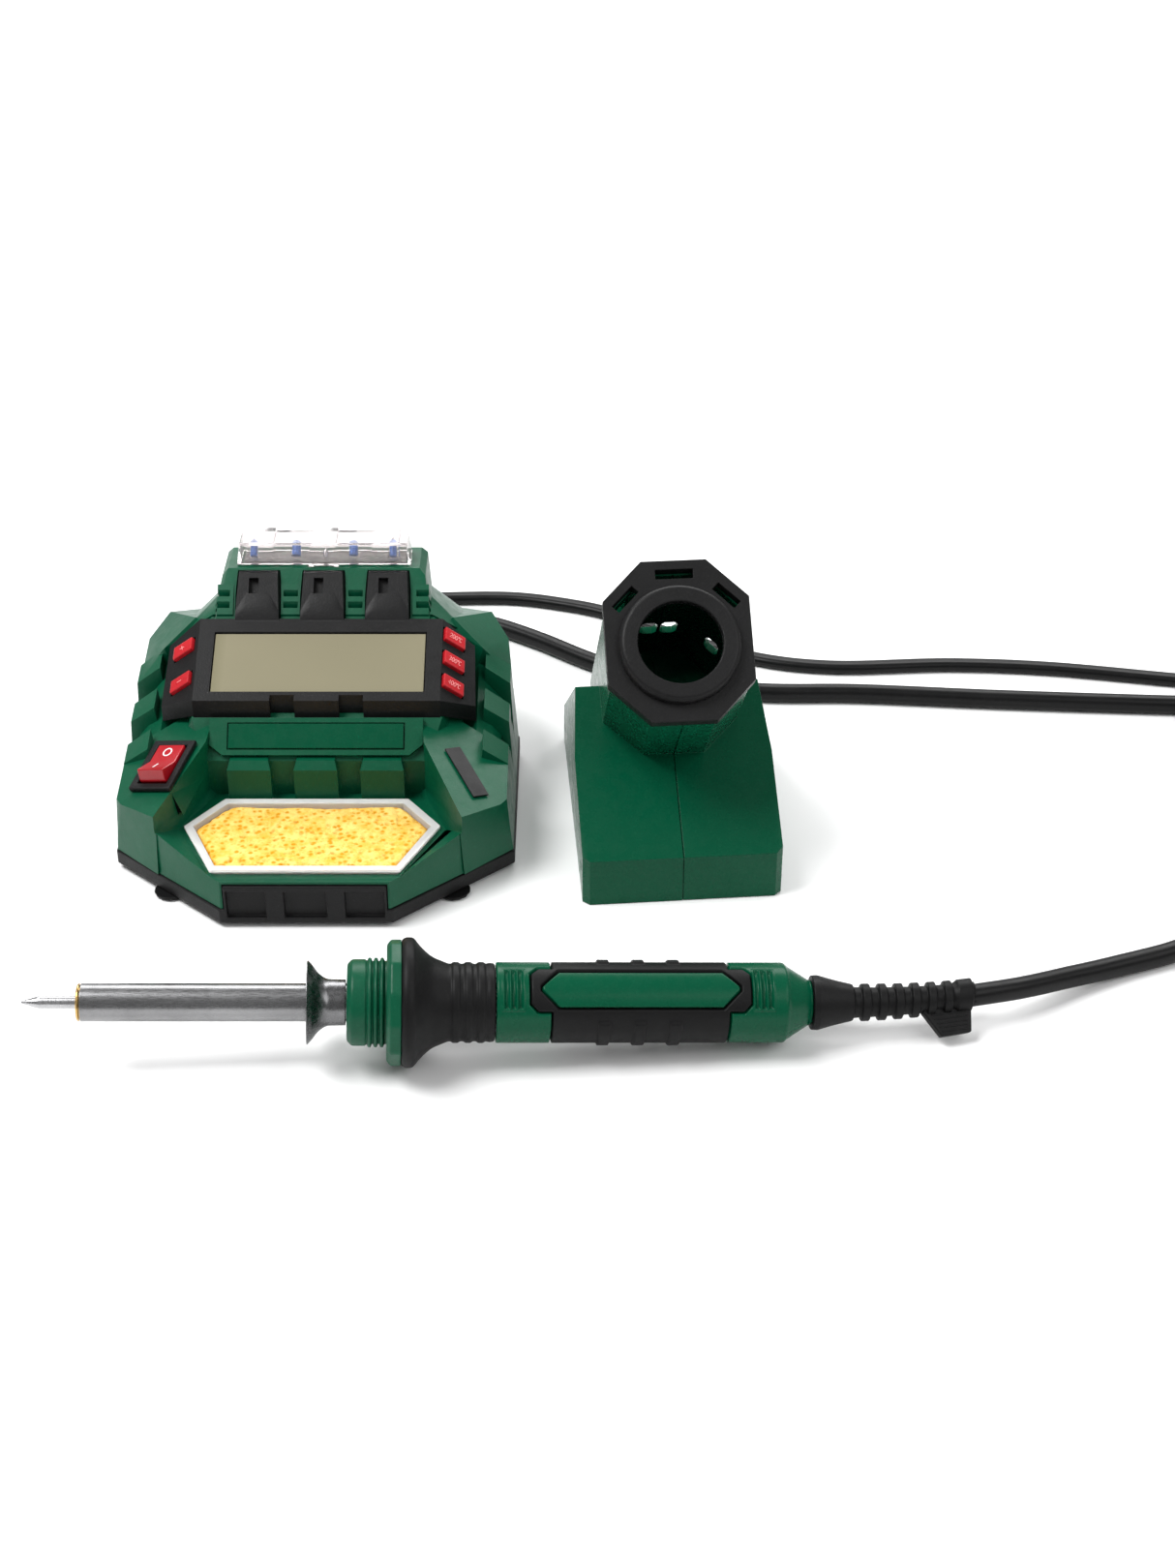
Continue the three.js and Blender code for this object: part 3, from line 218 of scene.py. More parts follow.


def lcd_material():
    """Unlit liquid crystal panel behind its window: grey-olive film, with painted shadow of the frame
    along its left edge.
    """
    mat, tree, bsdf, coord = node_tree("lcd_panel")
    patch = add_noise(tree, coord, 18, 2)
    tone = mix_colors(tree, remap(tree, patch, 0.3, 0.7, 0, 1), (0.222, 0.204, 0.135),
                      (0.238, 0.218, 0.145))
    split = tree.nodes.new("ShaderNodeSeparateXYZ")
    tree.links.new(coord, split.inputs["Vector"])
    # painted shadow: the panel's left edge is darker, where the window frame shades it
    edge = blend_in(tree, tone, (0.195, 0.180, 0.113),
                    remap(tree, split.outputs["X"], LCD_LEFT, LCD_LEFT + LCD_SHADE, 1, 0))
    tree.links.new(edge, bsdf.inputs["Base Color"])
    fine = add_noise(tree, coord, 3000, 2)
    tree.links.new(remap(tree, fine, 0.3, 0.7, 0.20, 0.26), bsdf.inputs["Roughness"])
    add_bump(tree, bsdf, fine, 0.02, 0.00001)
    bsdf.inputs["Specular IOR Level"].default_value = 0.12
    return mat


MATS = {
    "green": moulded("green_plastic", (0.0006, 0.072, 0.033), 0.36, grain=0.55,
                     grain_scale=1700, vary=0.06, specular=0.20),
    "green_smooth": moulded("green_plastic_smooth", (0.0004, 0.066, 0.030), 0.27, grain=0.01,
                            vary=0.03, wave=0.01, specular=0.14),
    "black": moulded("black_plastic", (0.0075, 0.0075, 0.0078), 0.42, grain=0.8,
                     grain_scale=1900, depth=0.00010, specular=0.17),
    "black_fine": moulded("black_plastic_fine", (0.007, 0.007, 0.0072), 0.40, grain=0.3,
                          specular=0.17),
    "rubber": moulded("black_rubber", (0.0052, 0.0052, 0.0054), 0.48, grain=0.45,
                      grain_scale=3200, specular=0.14),
    "cord": moulded("cord_jacket", (0.0045, 0.0045, 0.0047), 0.36, grain=0.15, wave=0.35,
                    specular=0.16),
    "red": moulded("red_plastic", (0.44, 0.012, 0.018), 0.30, grain=0.12, coat=0.05,
                   specular=0.3),
    "red_clear": moulded("red_translucent", (0.36, 0.006, 0.012), 0.14, grain=0.06, coat=0.15,
                         specular=0.35),
    "mark": moulded("mark_ink", (0.83, 0.80, 0.80), 0.45, grain=0.1, vary=0.04),
    "mark_red": moulded("mark_on_red", (0.86, 0.30, 0.30), 0.4, grain=0.1, vary=0.05),
    "blue": moulded("blue_plastic", (0.035, 0.17, 0.62), 0.35, grain=0.15),
    "board": moulded("solder_mask", (0.012, 0.10, 0.05), 0.3, grain=0.2),
    "ceramic": moulded("ceramic_rod", (0.72, 0.69, 0.62), 0.5, grain=0.3, vary=0.05),
    "steel": metal("steel_plain", (0.50, 0.50, 0.51), 0.28, (2600, 300, 300), lines=0.1),
    "tube": metal("steel_tube", (0.27, 0.27, 0.275), 0.27, (130, 4200, 4200), lines=0.30),
    "shield": metal("steel_pressed", (0.20, 0.20, 0.205), 0.26, (900, 900, 900), lines=0.1),
    "brass": metal("brass_ring", (0.62, 0.42, 0.16), 0.22, (2600, 300, 300),
                   tint=(0.48, 0.30, 0.10)),
    "iron_raw": metal("steel_weight", (0.22, 0.21, 0.20), 0.5, (300, 300, 300), lines=0.6),
    "clear": clear("clear_plastic", (0.84, 0.80, 0.80), 0.05, 0.90, ior=1.2),
    "tray": clear("clear_tray", (1.0, 0.995, 0.985), 0.10, 0.55, haze=0.05, ior=1.2),
    "sponge": sponge_material(),
    "lcd": lcd_material(),
}


# ---- mesh helpers ----
def unit(x, y, z):
    """A point of the control unit's own frame, mm, in the row frame, m."""
    return Vector((UNIT_AT[0] + x, UNIT_AT[1] + y, UNIT_AT[2] + z)) * MM


def frame_at(origin, x_axis, y_axis, z_axis):
    """A matrix from a local frame in mm to the row frame in m."""
    m = Matrix((x_axis, y_axis, z_axis)).transposed().to_4x4()
    m = m * MM
    m[3][3] = 1
    m.translation = origin
    return m


UNIT = frame_at(unit(0, 0, 0), (1, 0, 0), (0, 1, 0), (0, 0, 1))


def add_object(name, mesh, mat, body=None, replaces=(), slot=None, smooth=True):
    obj = bpy.data.objects.new(name, mesh)
    bpy.context.scene.collection.objects.link(obj)
    if mat is not None:
        mesh.materials.append(MATS[mat])
    for poly in mesh.polygons:
        poly.use_smooth = smooth
    if body is not None:
        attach(obj, body)
    if replaces:
        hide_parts(*replaces)
    return obj


def mesh_from(name, verts, faces):
    mesh = bpy.data.meshes.new(name)
    mesh.from_pydata([tuple(v) for v in verts], [], faces)
    bm = bmesh.new()
    bm.from_mesh(mesh)
    bmesh.ops.remove_doubles(bm, verts=bm.verts, dist=1e-7)
    bmesh.ops.recalc_face_normals(bm, faces=bm.faces)
    bm.to_mesh(mesh)
    bm.free()
    mesh.update()
    return mesh


def bevel(obj, width, segments=3, angle=28, weld=False):
    if weld:
        w = obj.modifiers.new("weld", "WELD")
        w.merge_threshold = 2e-6
        tri = obj.modifiers.new("flat", "DECIMATE")
        tri.decimate_type = "DISSOLVE"
        tri.angle_limit = math.radians(0.6)
    m = obj.modifiers.new("bevel", "BEVEL")
    m.width = width
    m.segments = segments
    m.limit_method = "ANGLE"
    m.angle_limit = math.radians(angle)
    m.harden_normals = False
    m.use_clamp_overlap = True
    n = obj.modifiers.new("normals", "WEIGHTED_NORMAL")
    n.keep_sharp = False
    n.weight = 90
    return obj


def fillet(points, radius, closed=False, steps=3):
    """Rounds the corners of a 2-D line; a point may carry its own radius as a third number."""
    out = []
    n = len(points)
    for i, p in enumerate(points):
        r = p[2] if len(p) > 2 else radius
        a = Vector(points[i - 1][:2]) if (i > 0 or closed) else None
        b = Vector(points[(i + 1) % n][:2]) if (i < n - 1 or closed) else None
        c = Vector(p[:2])
        if a is None or b is None or r <= 0:
            out.append(tuple(c))
            continue
        da, db = a - c, b - c
        la, lb = da.length, db.length
        if la < 1e-6 or lb < 1e-6:
            out.append(tuple(c))
            continue
        k = min(r, 0.45 * la, 0.45 * lb)
        s, e = c + da / la * k, c + db / lb * k
        for j in range(steps + 1):
            t = j / steps
            q = (1 - t) ** 2 * s + 2 * t * (1 - t) * c + t * t * e
            out.append((q.x, q.y))
    return out


def lathe_mesh(name, profile, matrix, segments=96, closed=False, bend=None):
    """Turns (radius, height) points about local +Z. closed joins the last point to the first."""
    verts, faces, rings = [], [], []
    for r, z in profile:
        if r < 1e-6 and not closed:
            verts.append(matrix @ Vector((0, 0, z)))
            rings.append([len(verts) - 1])
            continue
        ring = []
        for k in range(segments):
            t = 2 * math.pi * k / segments
            x, y, zz = r * math.cos(t), r * math.sin(t), z
            if bend is not None:
                x, y, zz = bend(x, y, zz, t)
            verts.append(matrix @ Vector((x, y, zz)))
            ring.append(len(verts) - 1)
        rings.append(ring)
    pairs = list(zip(rings, rings[1:])) + ([(rings[-1], rings[0])] if closed else [])
    for a, b in pairs:
        if len(a) == 1 and len(b) == 1:
            continue
        for k in range(segments):
            j = (k + 1) % segments
            if len(a) == 1:
                faces.append((a[0], b[j], b[k]))
            elif len(b) == 1:
                faces.append((a[k], a[j], b[0]))
            else:
                faces.append((a[k], a[j], b[j], b[k]))
    return mesh_from(name, verts, faces)


def lathe(name, profile, matrix, mat, body, radius=0.3, segments=96, closed=False, bend=None,
          **kw):
    mesh = lathe_mesh(name, fillet(profile, radius, closed), matrix, segments, closed, bend)
    obj = add_object(name, mesh, mat, body, **kw)
    n = obj.modifiers.new("normals", "WEIGHTED_NORMAL")
    n.weight = 90
    return obj


def prism(name, outline, z0, z1, matrix, mat, body, width=0.3, segments=3, **kw):
    n = len(outline)
    verts = [matrix @ Vector((x, y, z)) for z in (z0, z1) for x, y in outline]
    faces = [tuple(range(n)), tuple(range(n, 2 * n))]
    faces += [(i, (i + 1) % n, n + (i + 1) % n, n + i) for i in range(n)]
    obj = add_object(name, mesh_from(name, verts, faces), mat, body, **kw)
    return bevel(obj, width * MM, segments)


def hull(name, points, matrix, mat, body, width=0.3, segments=3, **kw):
    bm = bmesh.new()
    for p in points:
        bm.verts.new(matrix @ Vector(p))
    made = bmesh.ops.convex_hull(bm, input=bm.verts)
    spare = [g for g in made["geom_interior"] if isinstance(g, bmesh.types.BMVert)]
    if spare:
        bmesh.ops.delete(bm, geom=spare, context="VERTS")
    bmesh.ops.dissolve_limit(bm, angle_limit=0.01, verts=bm.verts, edges=bm.edges)
    bmesh.ops.recalc_face_normals(bm, faces=bm.faces)
    mesh = bpy.data.meshes.new(name)
    bm.to_mesh(mesh)
    bm.free()
    return bevel(add_object(name, mesh, mat, body, **kw), width * MM, segments)


# ---- cords ----
def spline(points, step):
    """Centripetal Catmull-Rom curve through points, sampled every step, mm."""
    pts = [Vector(p) for p in points]
    pts = [2 * pts[0] - pts[1]] + pts + [2 * pts[-1] - pts[-2]]
    out = []
    for i in range(1, len(pts) - 2):
        p0, p1, p2, p3 = pts[i - 1:i + 3]
        t0 = 0.0
        t1 = t0 + math.sqrt((p1 - p0).length)
        t2 = t1 + math.sqrt((p2 - p1).length)
        t3 = t2 + math.sqrt((p3 - p2).length)
        count = max(2, int((p2 - p1).length / step))
        for k in range(count):
            t = t1 + (t2 - t1) * k / count
            a1 = p0 * ((t1 - t) / (t1 - t0)) + p1 * ((t - t0) / (t1 - t0))
            a2 = p1 * ((t2 - t) / (t2 - t1)) + p2 * ((t - t1) / (t2 - t1))
            a3 = p2 * ((t3 - t) / (t3 - t2)) + p3 * ((t - t2) / (t3 - t2))
            b1 = a1 * ((t2 - t) / (t2 - t0)) + a2 * ((t - t0) / (t2 - t0))
            b2 = a2 * ((t3 - t) / (t3 - t1)) + a3 * ((t - t1) / (t3 - t1))
            out.append(b1 * ((t2 - t) / (t2 - t1)) + b2 * ((t - t1) / (t2 - t1)))
    out.append(pts[-2])
    return out


def coil(center, start, way, turns, slots):
    """Turns from angle start (degrees), way +1 or -1. slots: (turn, radius, height) to pass."""
    out = []
    steps = int(turns * 40)
    for k in range(steps + 1):
        u = turns * k / steps
        lower = [s for s in slots if s[0] <= u][-1]
        upper = next((s for s in slots if s[0] > u), lower)
        t = 0.0 if upper is lower else (u - lower[0]) / (upper[0] - lower[0])
        t = t * t * (3 - 2 * t)
        r = lower[1] + (upper[1] - lower[1]) * t
        z = lower[2] + (upper[2] - lower[2]) * t
        a = math.radians(start + way * 360 * u)
        out.append(Vector((center[0] + r * math.cos(a), center[1] + r * math.sin(a), z)))
    return out


def resampled(points, step):
    """The same line with points every step, smoothed where two lines were joined."""
    out = [points[0]]
    for p in points[1:]:
        if (p - out[-1]).length >= step * 0.7:
            out.append(p)
    for _ in range(3):
        out = [out[0], out[1]] + [
            (out[i - 1] + 2 * out[i] + out[i + 1]) / 4 for i in range(2, len(out) - 2)
        ] + [out[-2], out[-1]]
    return out


def sweep(name, path, section, mat):
    """A tube along path (mm, row frame) with a section (across, up) that stays level."""
    verts, faces = [], []
    n, m = len(path), len(section)
    for i, p in enumerate(path):
        along = (path[min(i + 1, n - 1)] - path[max(i - 1, 0)]).normalized()
        across = along.cross(Vector((0, 0, 1))).normalized()
        up = across.cross(along)
        verts += [(p + across * a + up * b) * MM for a, b in section]
    for i in range(n - 1):
        for k in range(m):
            j = (k + 1) % m
            faces.append((i * m + k, i * m + j, (i + 1) * m + j, (i + 1) * m + k))
    faces += [tuple(range(m)), tuple(range((n - 1) * m, n * m))]
    return add_object(name, mesh_from(name, verts, faces), mat)


def shifted(points):
    return [Vector(p) + Vector(ROW_SHIFT) for p in points]


MAINS_W, MAINS_H, LEAD_D = 5.2, 3.8, 5.8
MAINS_Z = MAINS_H / 2 + 0.1
LEAD_Z = LEAD_D / 2 + 0.1
MAINS_ROUTE = shifted([
    (-80, 112, 13), (-80, 118.5, 13), (-80, 125, 12.7), (-79.4, 136, 7.6), (-76, 147, 3.3),
    (-68, 156, MAINS_Z), (-52, 161, MAINS_Z), (-33, 161.6, MAINS_Z), (-3, 162, MAINS_Z),
    (14, 158, MAINS_Z), (29, 152, MAINS_Z), (52, 136, MAINS_Z), (80, 119.5, MAINS_Z),
    (104, 114, MAINS_Z), (145, 115.5, MAINS_Z), (177, 113.2, MAINS_Z), (219, 105.5, MAINS_Z),
    (238, 102.2, MAINS_Z),
])
LEAD_REAR_ROUTE = shifted([
    (-58, 112, 13), (-58, 118.5, 13), (-58, 124, 12.7), (-57, 132, 9), (-52, 140, 4.6),
    (-42, 146, LEAD_Z), (-28, 146.8, LEAD_Z), (-10.5, 141.4, LEAD_Z), (6.4, 130.6, LEAD_Z),
    (26, 115, LEAD_Z), (52, 100.6, LEAD_Z), (81.7, 95.6, LEAD_Z), (110.4, 95.2, LEAD_Z),
    (157.5, 91.4, LEAD_Z), (215.4, 87.8, LEAD_Z), (228, 87.4, LEAD_Z),
])
LEAD_FRONT_ROUTE = shifted([
    (246, 16.9, 5.2), (238.5, 15.2, 3.8), (234.6, 12.6, LEAD_Z + 0.2), (226, 3, LEAD_Z),
    (218.6, -11, LEAD_Z), (211, -25.6, LEAD_Z), (200, -37.6, LEAD_Z), (186.5, -45.8, LEAD_Z),
    (178.1, -49.2, LEAD_Z), (170.4, -52.4, 3.3), (162.6, -56.1, 4.0), (154.8, -59.9, 5.0),
    (147.1, -64.2, 6.3), (139.4, -68.2, 7.6), (133, -71, 8.6), (128.2, -72.7, 9.1),
    (124.4, -73.9, 9.3),
])
MAINS_COIL_AT = (267 + ROW_SHIFT[0], 136 + ROW_SHIFT[1])
LEAD_COIL_AT = (254 + ROW_SHIFT[0], 52 + ROW_SHIFT[1])
MAINS_TURNS = 5.25
LEAD_TURNS = 3.5
MAINS_UP = MAINS_Z + MAINS_H + 0.15
LEAD_UP = LEAD_Z + LEAD_D
MAINS_SLOTS = [
    (0, 35.2, MAINS_Z), (0.85, 35.2, MAINS_Z), (1.0, 30, MAINS_Z), (1.85, 30, MAINS_Z),
    (2.0, 24.8, MAINS_Z), (2.85, 24.8, MAINS_Z), (3.0, 24.8, MAINS_UP), (3.85, 24.8, MAINS_UP),
    (4.0, 30, MAINS_UP), (4.85, 30, MAINS_UP), (5.0, 35.2, MAINS_UP), (5.25, 35.2, MAINS_UP),
]
LEAD_SLOTS = [
    (0, 34.95, LEAD_Z), (0.4, 34.95, LEAD_Z), (0.55, 29.05, LEAD_Z), (1.4, 29.05, LEAD_Z),
    (1.55, 29.05, LEAD_UP), (2.4, 29.05, LEAD_UP), (2.55, 34.95, LEAD_UP), (3.4, 34.95, LEAD_UP),
    (3.55, 34.95, 5.0),
]
PLUG_AT = Vector((297.5, 163.8, 0)) + Vector(ROW_SHIFT)
CORD_STEP = 1.6


def oval(width, height, count, groove=0.0):
    """Section of a flat cord, with a shallow groove between its two cores."""
    out = []
    for k in range(count):
        t = 2 * math.pi * k / count
        dip = 1 - groove * math.exp(-((math.cos(t)) / 0.22) ** 2)
        out.append((width / 2 * math.copysign(abs(math.cos(t)) ** 0.85, math.cos(t)),
                    height / 2 * dip * math.copysign(abs(math.sin(t)) ** 0.85, math.sin(t))))
    return out


def make_mains_lead():
    path = spline(MAINS_ROUTE, CORD_STEP)
    path += coil(MAINS_COIL_AT, -90, 1, MAINS_TURNS, MAINS_SLOTS)[1:]
    end = path[-1]
    path += spline([end, end + Vector((0, 8, 0.2)), PLUG_AT + Vector((1.2, -12, 6.6)),
                    PLUG_AT + Vector((0, 0, 7)), PLUG_AT + Vector((0, 5, 7))], CORD_STEP)[1:]
    path = resampled(path, CORD_STEP)
    obj = sweep("mains_cord", path, oval(MAINS_W, MAINS_H, 24, 0.10), "cord")
    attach(obj, "root")
    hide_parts("mains_lead", "mains_coil")
    return obj, path


def make_iron_lead():
    path = spline(LEAD_REAR_ROUTE, CORD_STEP)
    path += coil(LEAD_COIL_AT, 90, -1, LEAD_TURNS, LEAD_SLOTS)[1:]
    path += spline(LEAD_FRONT_ROUTE, CORD_STEP)
    path = resampled(path, CORD_STEP)
    obj = sweep("iron_cord", path, oval(LEAD_D, LEAD_D, 24), "cord")
    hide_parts("iron_lead_rear", "iron_lead_coil", "iron_lead_front")
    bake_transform(obj)
    return obj, path


def make_tie(name, at, mean, width, height, angle):
    """A hook-and-loop strap round the coil's section."""
    a = math.radians(angle)
    out = Vector((math.cos(a), math.sin(a), 0))
    side = Vector((-math.sin(a), math.cos(a), 0))
    center = Vector((at[0], at[1], 0)) + out * mean
    wide, half = 7.0, width / 2 + 0.5
    loop = fillet([(-half, 0.05), (half, 0.05), (half, height + 0.6), (-half, height + 0.6)],
                  1.8, closed=True, steps=6)
    inner = fillet([(-half + 0.8, 0.6), (half - 0.8, 0.6), (half - 0.8, height - 0.2),
                    (-half + 0.8, height - 0.2)], 1.4, closed=True, steps=6)
    verts, faces = [], []
    n = len(loop)
    for line in (loop, inner):
        for s in (-wide / 2, wide / 2):
            verts += [(center + out * x + Vector((0, 0, z)) + side * s) * MM for x, z in line]
    for i in range(n):
        j = (i + 1) % n
        faces += [(i, j, n + j, n + i), (2 * n + i, 2 * n + j, 3 * n + j, 3 * n + i),
                  (i, j, 2 * n + j, 2 * n + i), (n + i, n + j, 3 * n + j, 3 * n + i)]
    obj = add_object(name, mesh_from(name, verts, faces), "rubber", "root", slot="black_rubber")
    return bevel(obj, 0.15 * MM, 2)


def make_plug():
    at = frame_at(PLUG_AT * MM, (1, 0, 0), (0, 1, 0), (0, 0, 1))
    body = hull("plug_body", [
        (s * x, y, z) for s in (-1, 1) for x, y, z in (
            (3, 0, 4), (3, 0, 10), (8.4, 9, 2.4), (8.4, 9, 11.6), (12.6, 16, 0.6),
            (12.6, 16, 13.4), (13.4, 20, 0), (13.4, 20, 14), (17.5, 34, 0), (17.5, 34, 14),
            (17.5, 36, 0.6), (17.5, 36, 13.4))
    ], at, "black_fine", "root", width=1.6, segments=5, replaces=("mains_plug",),
        slot="black_shell")
    parts = [body]
    sides = ((-1, "l"), (1, "r"))
    for s, side in sides:
        axis = frame_at(at @ Vector((s * 9.3, 0, 7)), (1, 0, 0), (0, 0, -1), (0, 1, 0))
        parts.append(lathe(f"plug_sleeve_{side}", [
            (0, 35), (2.0, 35), (2.0, 45), (0, 45)], axis, "black_fine", "root",
            slot="black_shell", segments=32))
        parts.append(lathe(f"plug_pin_{side}", [
            (0, 44.5), (1.9, 44.5), (1.9, 53, 1.2), (0.6, 54), (0, 54)], axis, "steel", "root",
            slot="steel", segments=32))
    # shallow finger grips on the flanks
    for k in range(4):
        for s, side in sides:
            y = 22 + k * 3
            x = 13.4 + (y - 20) * 4.1 / 14
            parts.append(hull(f"plug_grip_{k}{side}", [
                (s * (x + dx), y + dy, z) for dx in (-0.6, 0.5) for dy in (-0.6, 0.6)
                for z in (2.2, 11.8)], at, "black_fine", "root", width=0.25,
                slot="black_shell"))
    return parts


mains, mains_path = make_mains_lead()
iron_lead, lead_path = make_iron_lead()
mains_tie = make_tie("mains_tie", MAINS_COIL_AT, 30, 16, 8.0, 150)
lead_tie = make_tie("lead_tie", LEAD_COIL_AT, 32, 12, 11.8, 150)
plug = make_plug()


# ---- the iron ----
# Local frame of the iron: x up, y towards the user, z along the axis from the tip, mm
IRON_REST = Vector((-23.2, -86.3, 17.1)) + Vector(ROW_SHIFT)
GUARD_S = 100
IRON_TILT = math.radians(3)
IRON_YAW = math.radians(3.8)
ALONG = Vector((math.cos(IRON_YAW) * math.cos(IRON_TILT),
                math.sin(IRON_YAW) * math.cos(IRON_TILT), -math.sin(IRON_TILT)))
IRON_UP = (Vector((0, 0, 1)) - ALONG * ALONG.z).normalized()
ACROSS = ALONG.cross(IRON_UP)
IRON = frame_at((IRON_REST - ALONG * GUARD_S) * MM, IRON_UP, ACROSS, ALONG)

HANDLE_R = 10.6
GRIP_MID = 160.25
GRIP_DEPTH = 1.9                   # how far the sleeve's seat and its window are sunk
SLEEVE_HALF = 23.35                # half length of the rubber band that goes all round
FRAME = (29.0, 6.3, 2.0)           # half length, half width and corner cut round the window
WINDOW_AT = math.radians(31)       # direction of the window's middle, from up towards the user
WINDOW_WIDE, WINDOW_LONG = 5.3, 26.0
WINDOW_POINT, WINDOW_TAPER, WINDOW_SLANT = 26.6, 5.1, 7.36
PANEL_R = 10.35
FAR_AWAY = 50.0                    # a gap for the side of the handle that has no window
SLOT_HALF, SLOT_LONG, SLOT_DEPTH, SLOT_LIP = 0.5, 5.2, 0.65, 0.20
RIB_TALL = 0.65
SKIN_SEGMENTS = 260
FLANGE_FACETS, FLANGE_FLAT, FLANGE_INNER = 12, 0.8, 14
BEND_FROM, BEND_RATE = 215, 0.0028
TAG_S = 243
RIB_S = (150.7, 160.0, 169.3)
FRONT_SLOTS = (125.2, 126.95, 128.7)
REAR_SLOTS = (190.6, 192.35, 194.1)


def step(low, high, value):
    t = min(1.0, max(0.0, (value - low) / (high - low)))
    return t * t * (3 - 2 * t)


def window_gap(s, t):
    """Distance outside the edge of the long hexagon, mm; negative inside it."""
    if math.cos(t - WINDOW_AT) < 0:
        return FAR_AWAY
    a = abs(s - GRIP_MID)
    b = abs(HANDLE_R * math.sin(t - WINDOW_AT))
    return max(b - WINDOW_WIDE, a - WINDOW_LONG,
               ((a - WINDOW_POINT) * WINDOW_WIDE + b * WINDOW_TAPER) / WINDOW_SLANT)


def sleeve_gap(s, t):
    """Distance outside the rubber sleeve, mm."""
    band = abs(s - GRIP_MID) - SLEEVE_HALF
    if math.cos(t - WINDOW_AT) < 0:
        return band
    long, wide, corner = FRAME
    a = abs(s - GRIP_MID) - long
    b = abs(HANDLE_R * math.sin(t - WINDOW_AT)) - wide
    return min(band, max(a, b, (a + b + corner) * 0.7071))


def grip_radius(s, t):
    r = HANDLE_R - GRIP_DEPTH * step(-0.45, 0.15, sleeve_gap(s, t))
    gap = window_gap(s, t)
    if gap < 1.2:
        r -= GRIP_DEPTH * step(0.5, -0.1, gap)
    for rib in RIB_S:
        wide = 1 - step(1.35, 1.75, abs(s - rib))
        r += RIB_TALL * wide * step(2.6, 3.2, gap)
    return r


def handle_radius(s, t):
    r = HANDLE_R - max(0, 122.9 - s) * 0.6
    if s > 198.6:
        r -= (s - 198.6) * 0.63 + 0.25 * step(198.6, 199.6, s)
    r -= GRIP_DEPTH * step(0.35, -0.05, sleeve_gap(s, t))
    if math.cos(t - WINDOW_AT) > 0:
        v = abs(HANDLE_R * math.sin(t - WINDOW_AT))
        for slot in FRONT_SLOTS + REAR_SLOTS:
            edge = max(abs(s - slot) - SLOT_HALF, v - SLOT_LONG)
            r -= SLOT_DEPTH * step(0.2, -0.2, edge)
            r += SLOT_LIP * (1 - step(0.0, 0.35, abs(edge - 0.4)))
    return r


def panel_radius(s, t):
    return PANEL_R - 1.5 * step(-0.4, 0.05, window_gap(s, t))


def levels(*spans):
    """Heights along the axis: (from, to, step) spans in a row."""
    out = []
    for low, high, pitch in spans:
        count = max(1, round((high - low) / pitch))
        out += [low + (high - low) * k / count for k in range(count)]
    return out + [spans[-1][1]]


def skin(name, heights, radius, mat, inner=8.4, **kw):
    """A tube about the iron's axis whose outside follows radius(s, angle)."""
    verts, faces = [], []
    rows = [(s, radius) for s in heights]
    rows += [(s, None) for s in reversed(heights)]
    for s, rule in rows:
        for k in range(SKIN_SEGMENTS):
            t = 2 * math.pi * k / SKIN_SEGMENTS
            r = rule(s, t) if rule else inner
            verts.append(IRON @ Vector((r * math.cos(t), r * math.sin(t), s)))
    n = len(rows)
    for i in range(n):
        a, b = i * SKIN_SEGMENTS, (i + 1) % n * SKIN_SEGMENTS
        for k in range(SKIN_SEGMENTS):
            j = (k + 1) % SKIN_SEGMENTS
            faces.append((a + k, a + j, b + j, b + k))
    return add_object(name, mesh_from(name, verts, faces), mat, "iron", **kw)


def turned(name, profile, mat, replaces=(), slot=None, radius=0.25, segments=96, closed=True,
           bend=None):
    return lathe(name, profile, IRON, mat, "iron", radius=radius, segments=segments,
                 closed=closed, bend=bend, replaces=replaces, slot=slot)


def ribbed(low, high, pitch, base, tall, wide):
    """Profile points of rounded ribs between two heights."""
    out = []
    count = round((high - low) / pitch)
    for k in range(count):
        mid = low + (k + 0.5) * (high - low) / count
        out += [(base, mid - wide), (base + tall, mid - wide * 0.55),
                (base + tall, mid + wide * 0.55), (base, mid + wide)]
    return out


def relief_sag(s):
    """How far the end of the strain relief hangs from the axis at height s."""
    return BEND_RATE * max(0.0, s - BEND_FROM) ** 2


def relief_bend(x, y, z, _angle):
    return x, y - relief_sag(z), z


def facet_flange(x, y, z, t):
    """Softens the flange's round outside into flats."""
    if math.hypot(x, y) < FLANGE_INNER:
        return x, y, z
    half = math.pi / FLANGE_FACETS
    k = math.cos(half) / math.cos((t + half) % (2 * half) - half)
    grow = 1 + (k - 1) * FLANGE_FLAT
    return x * grow, y * grow, z


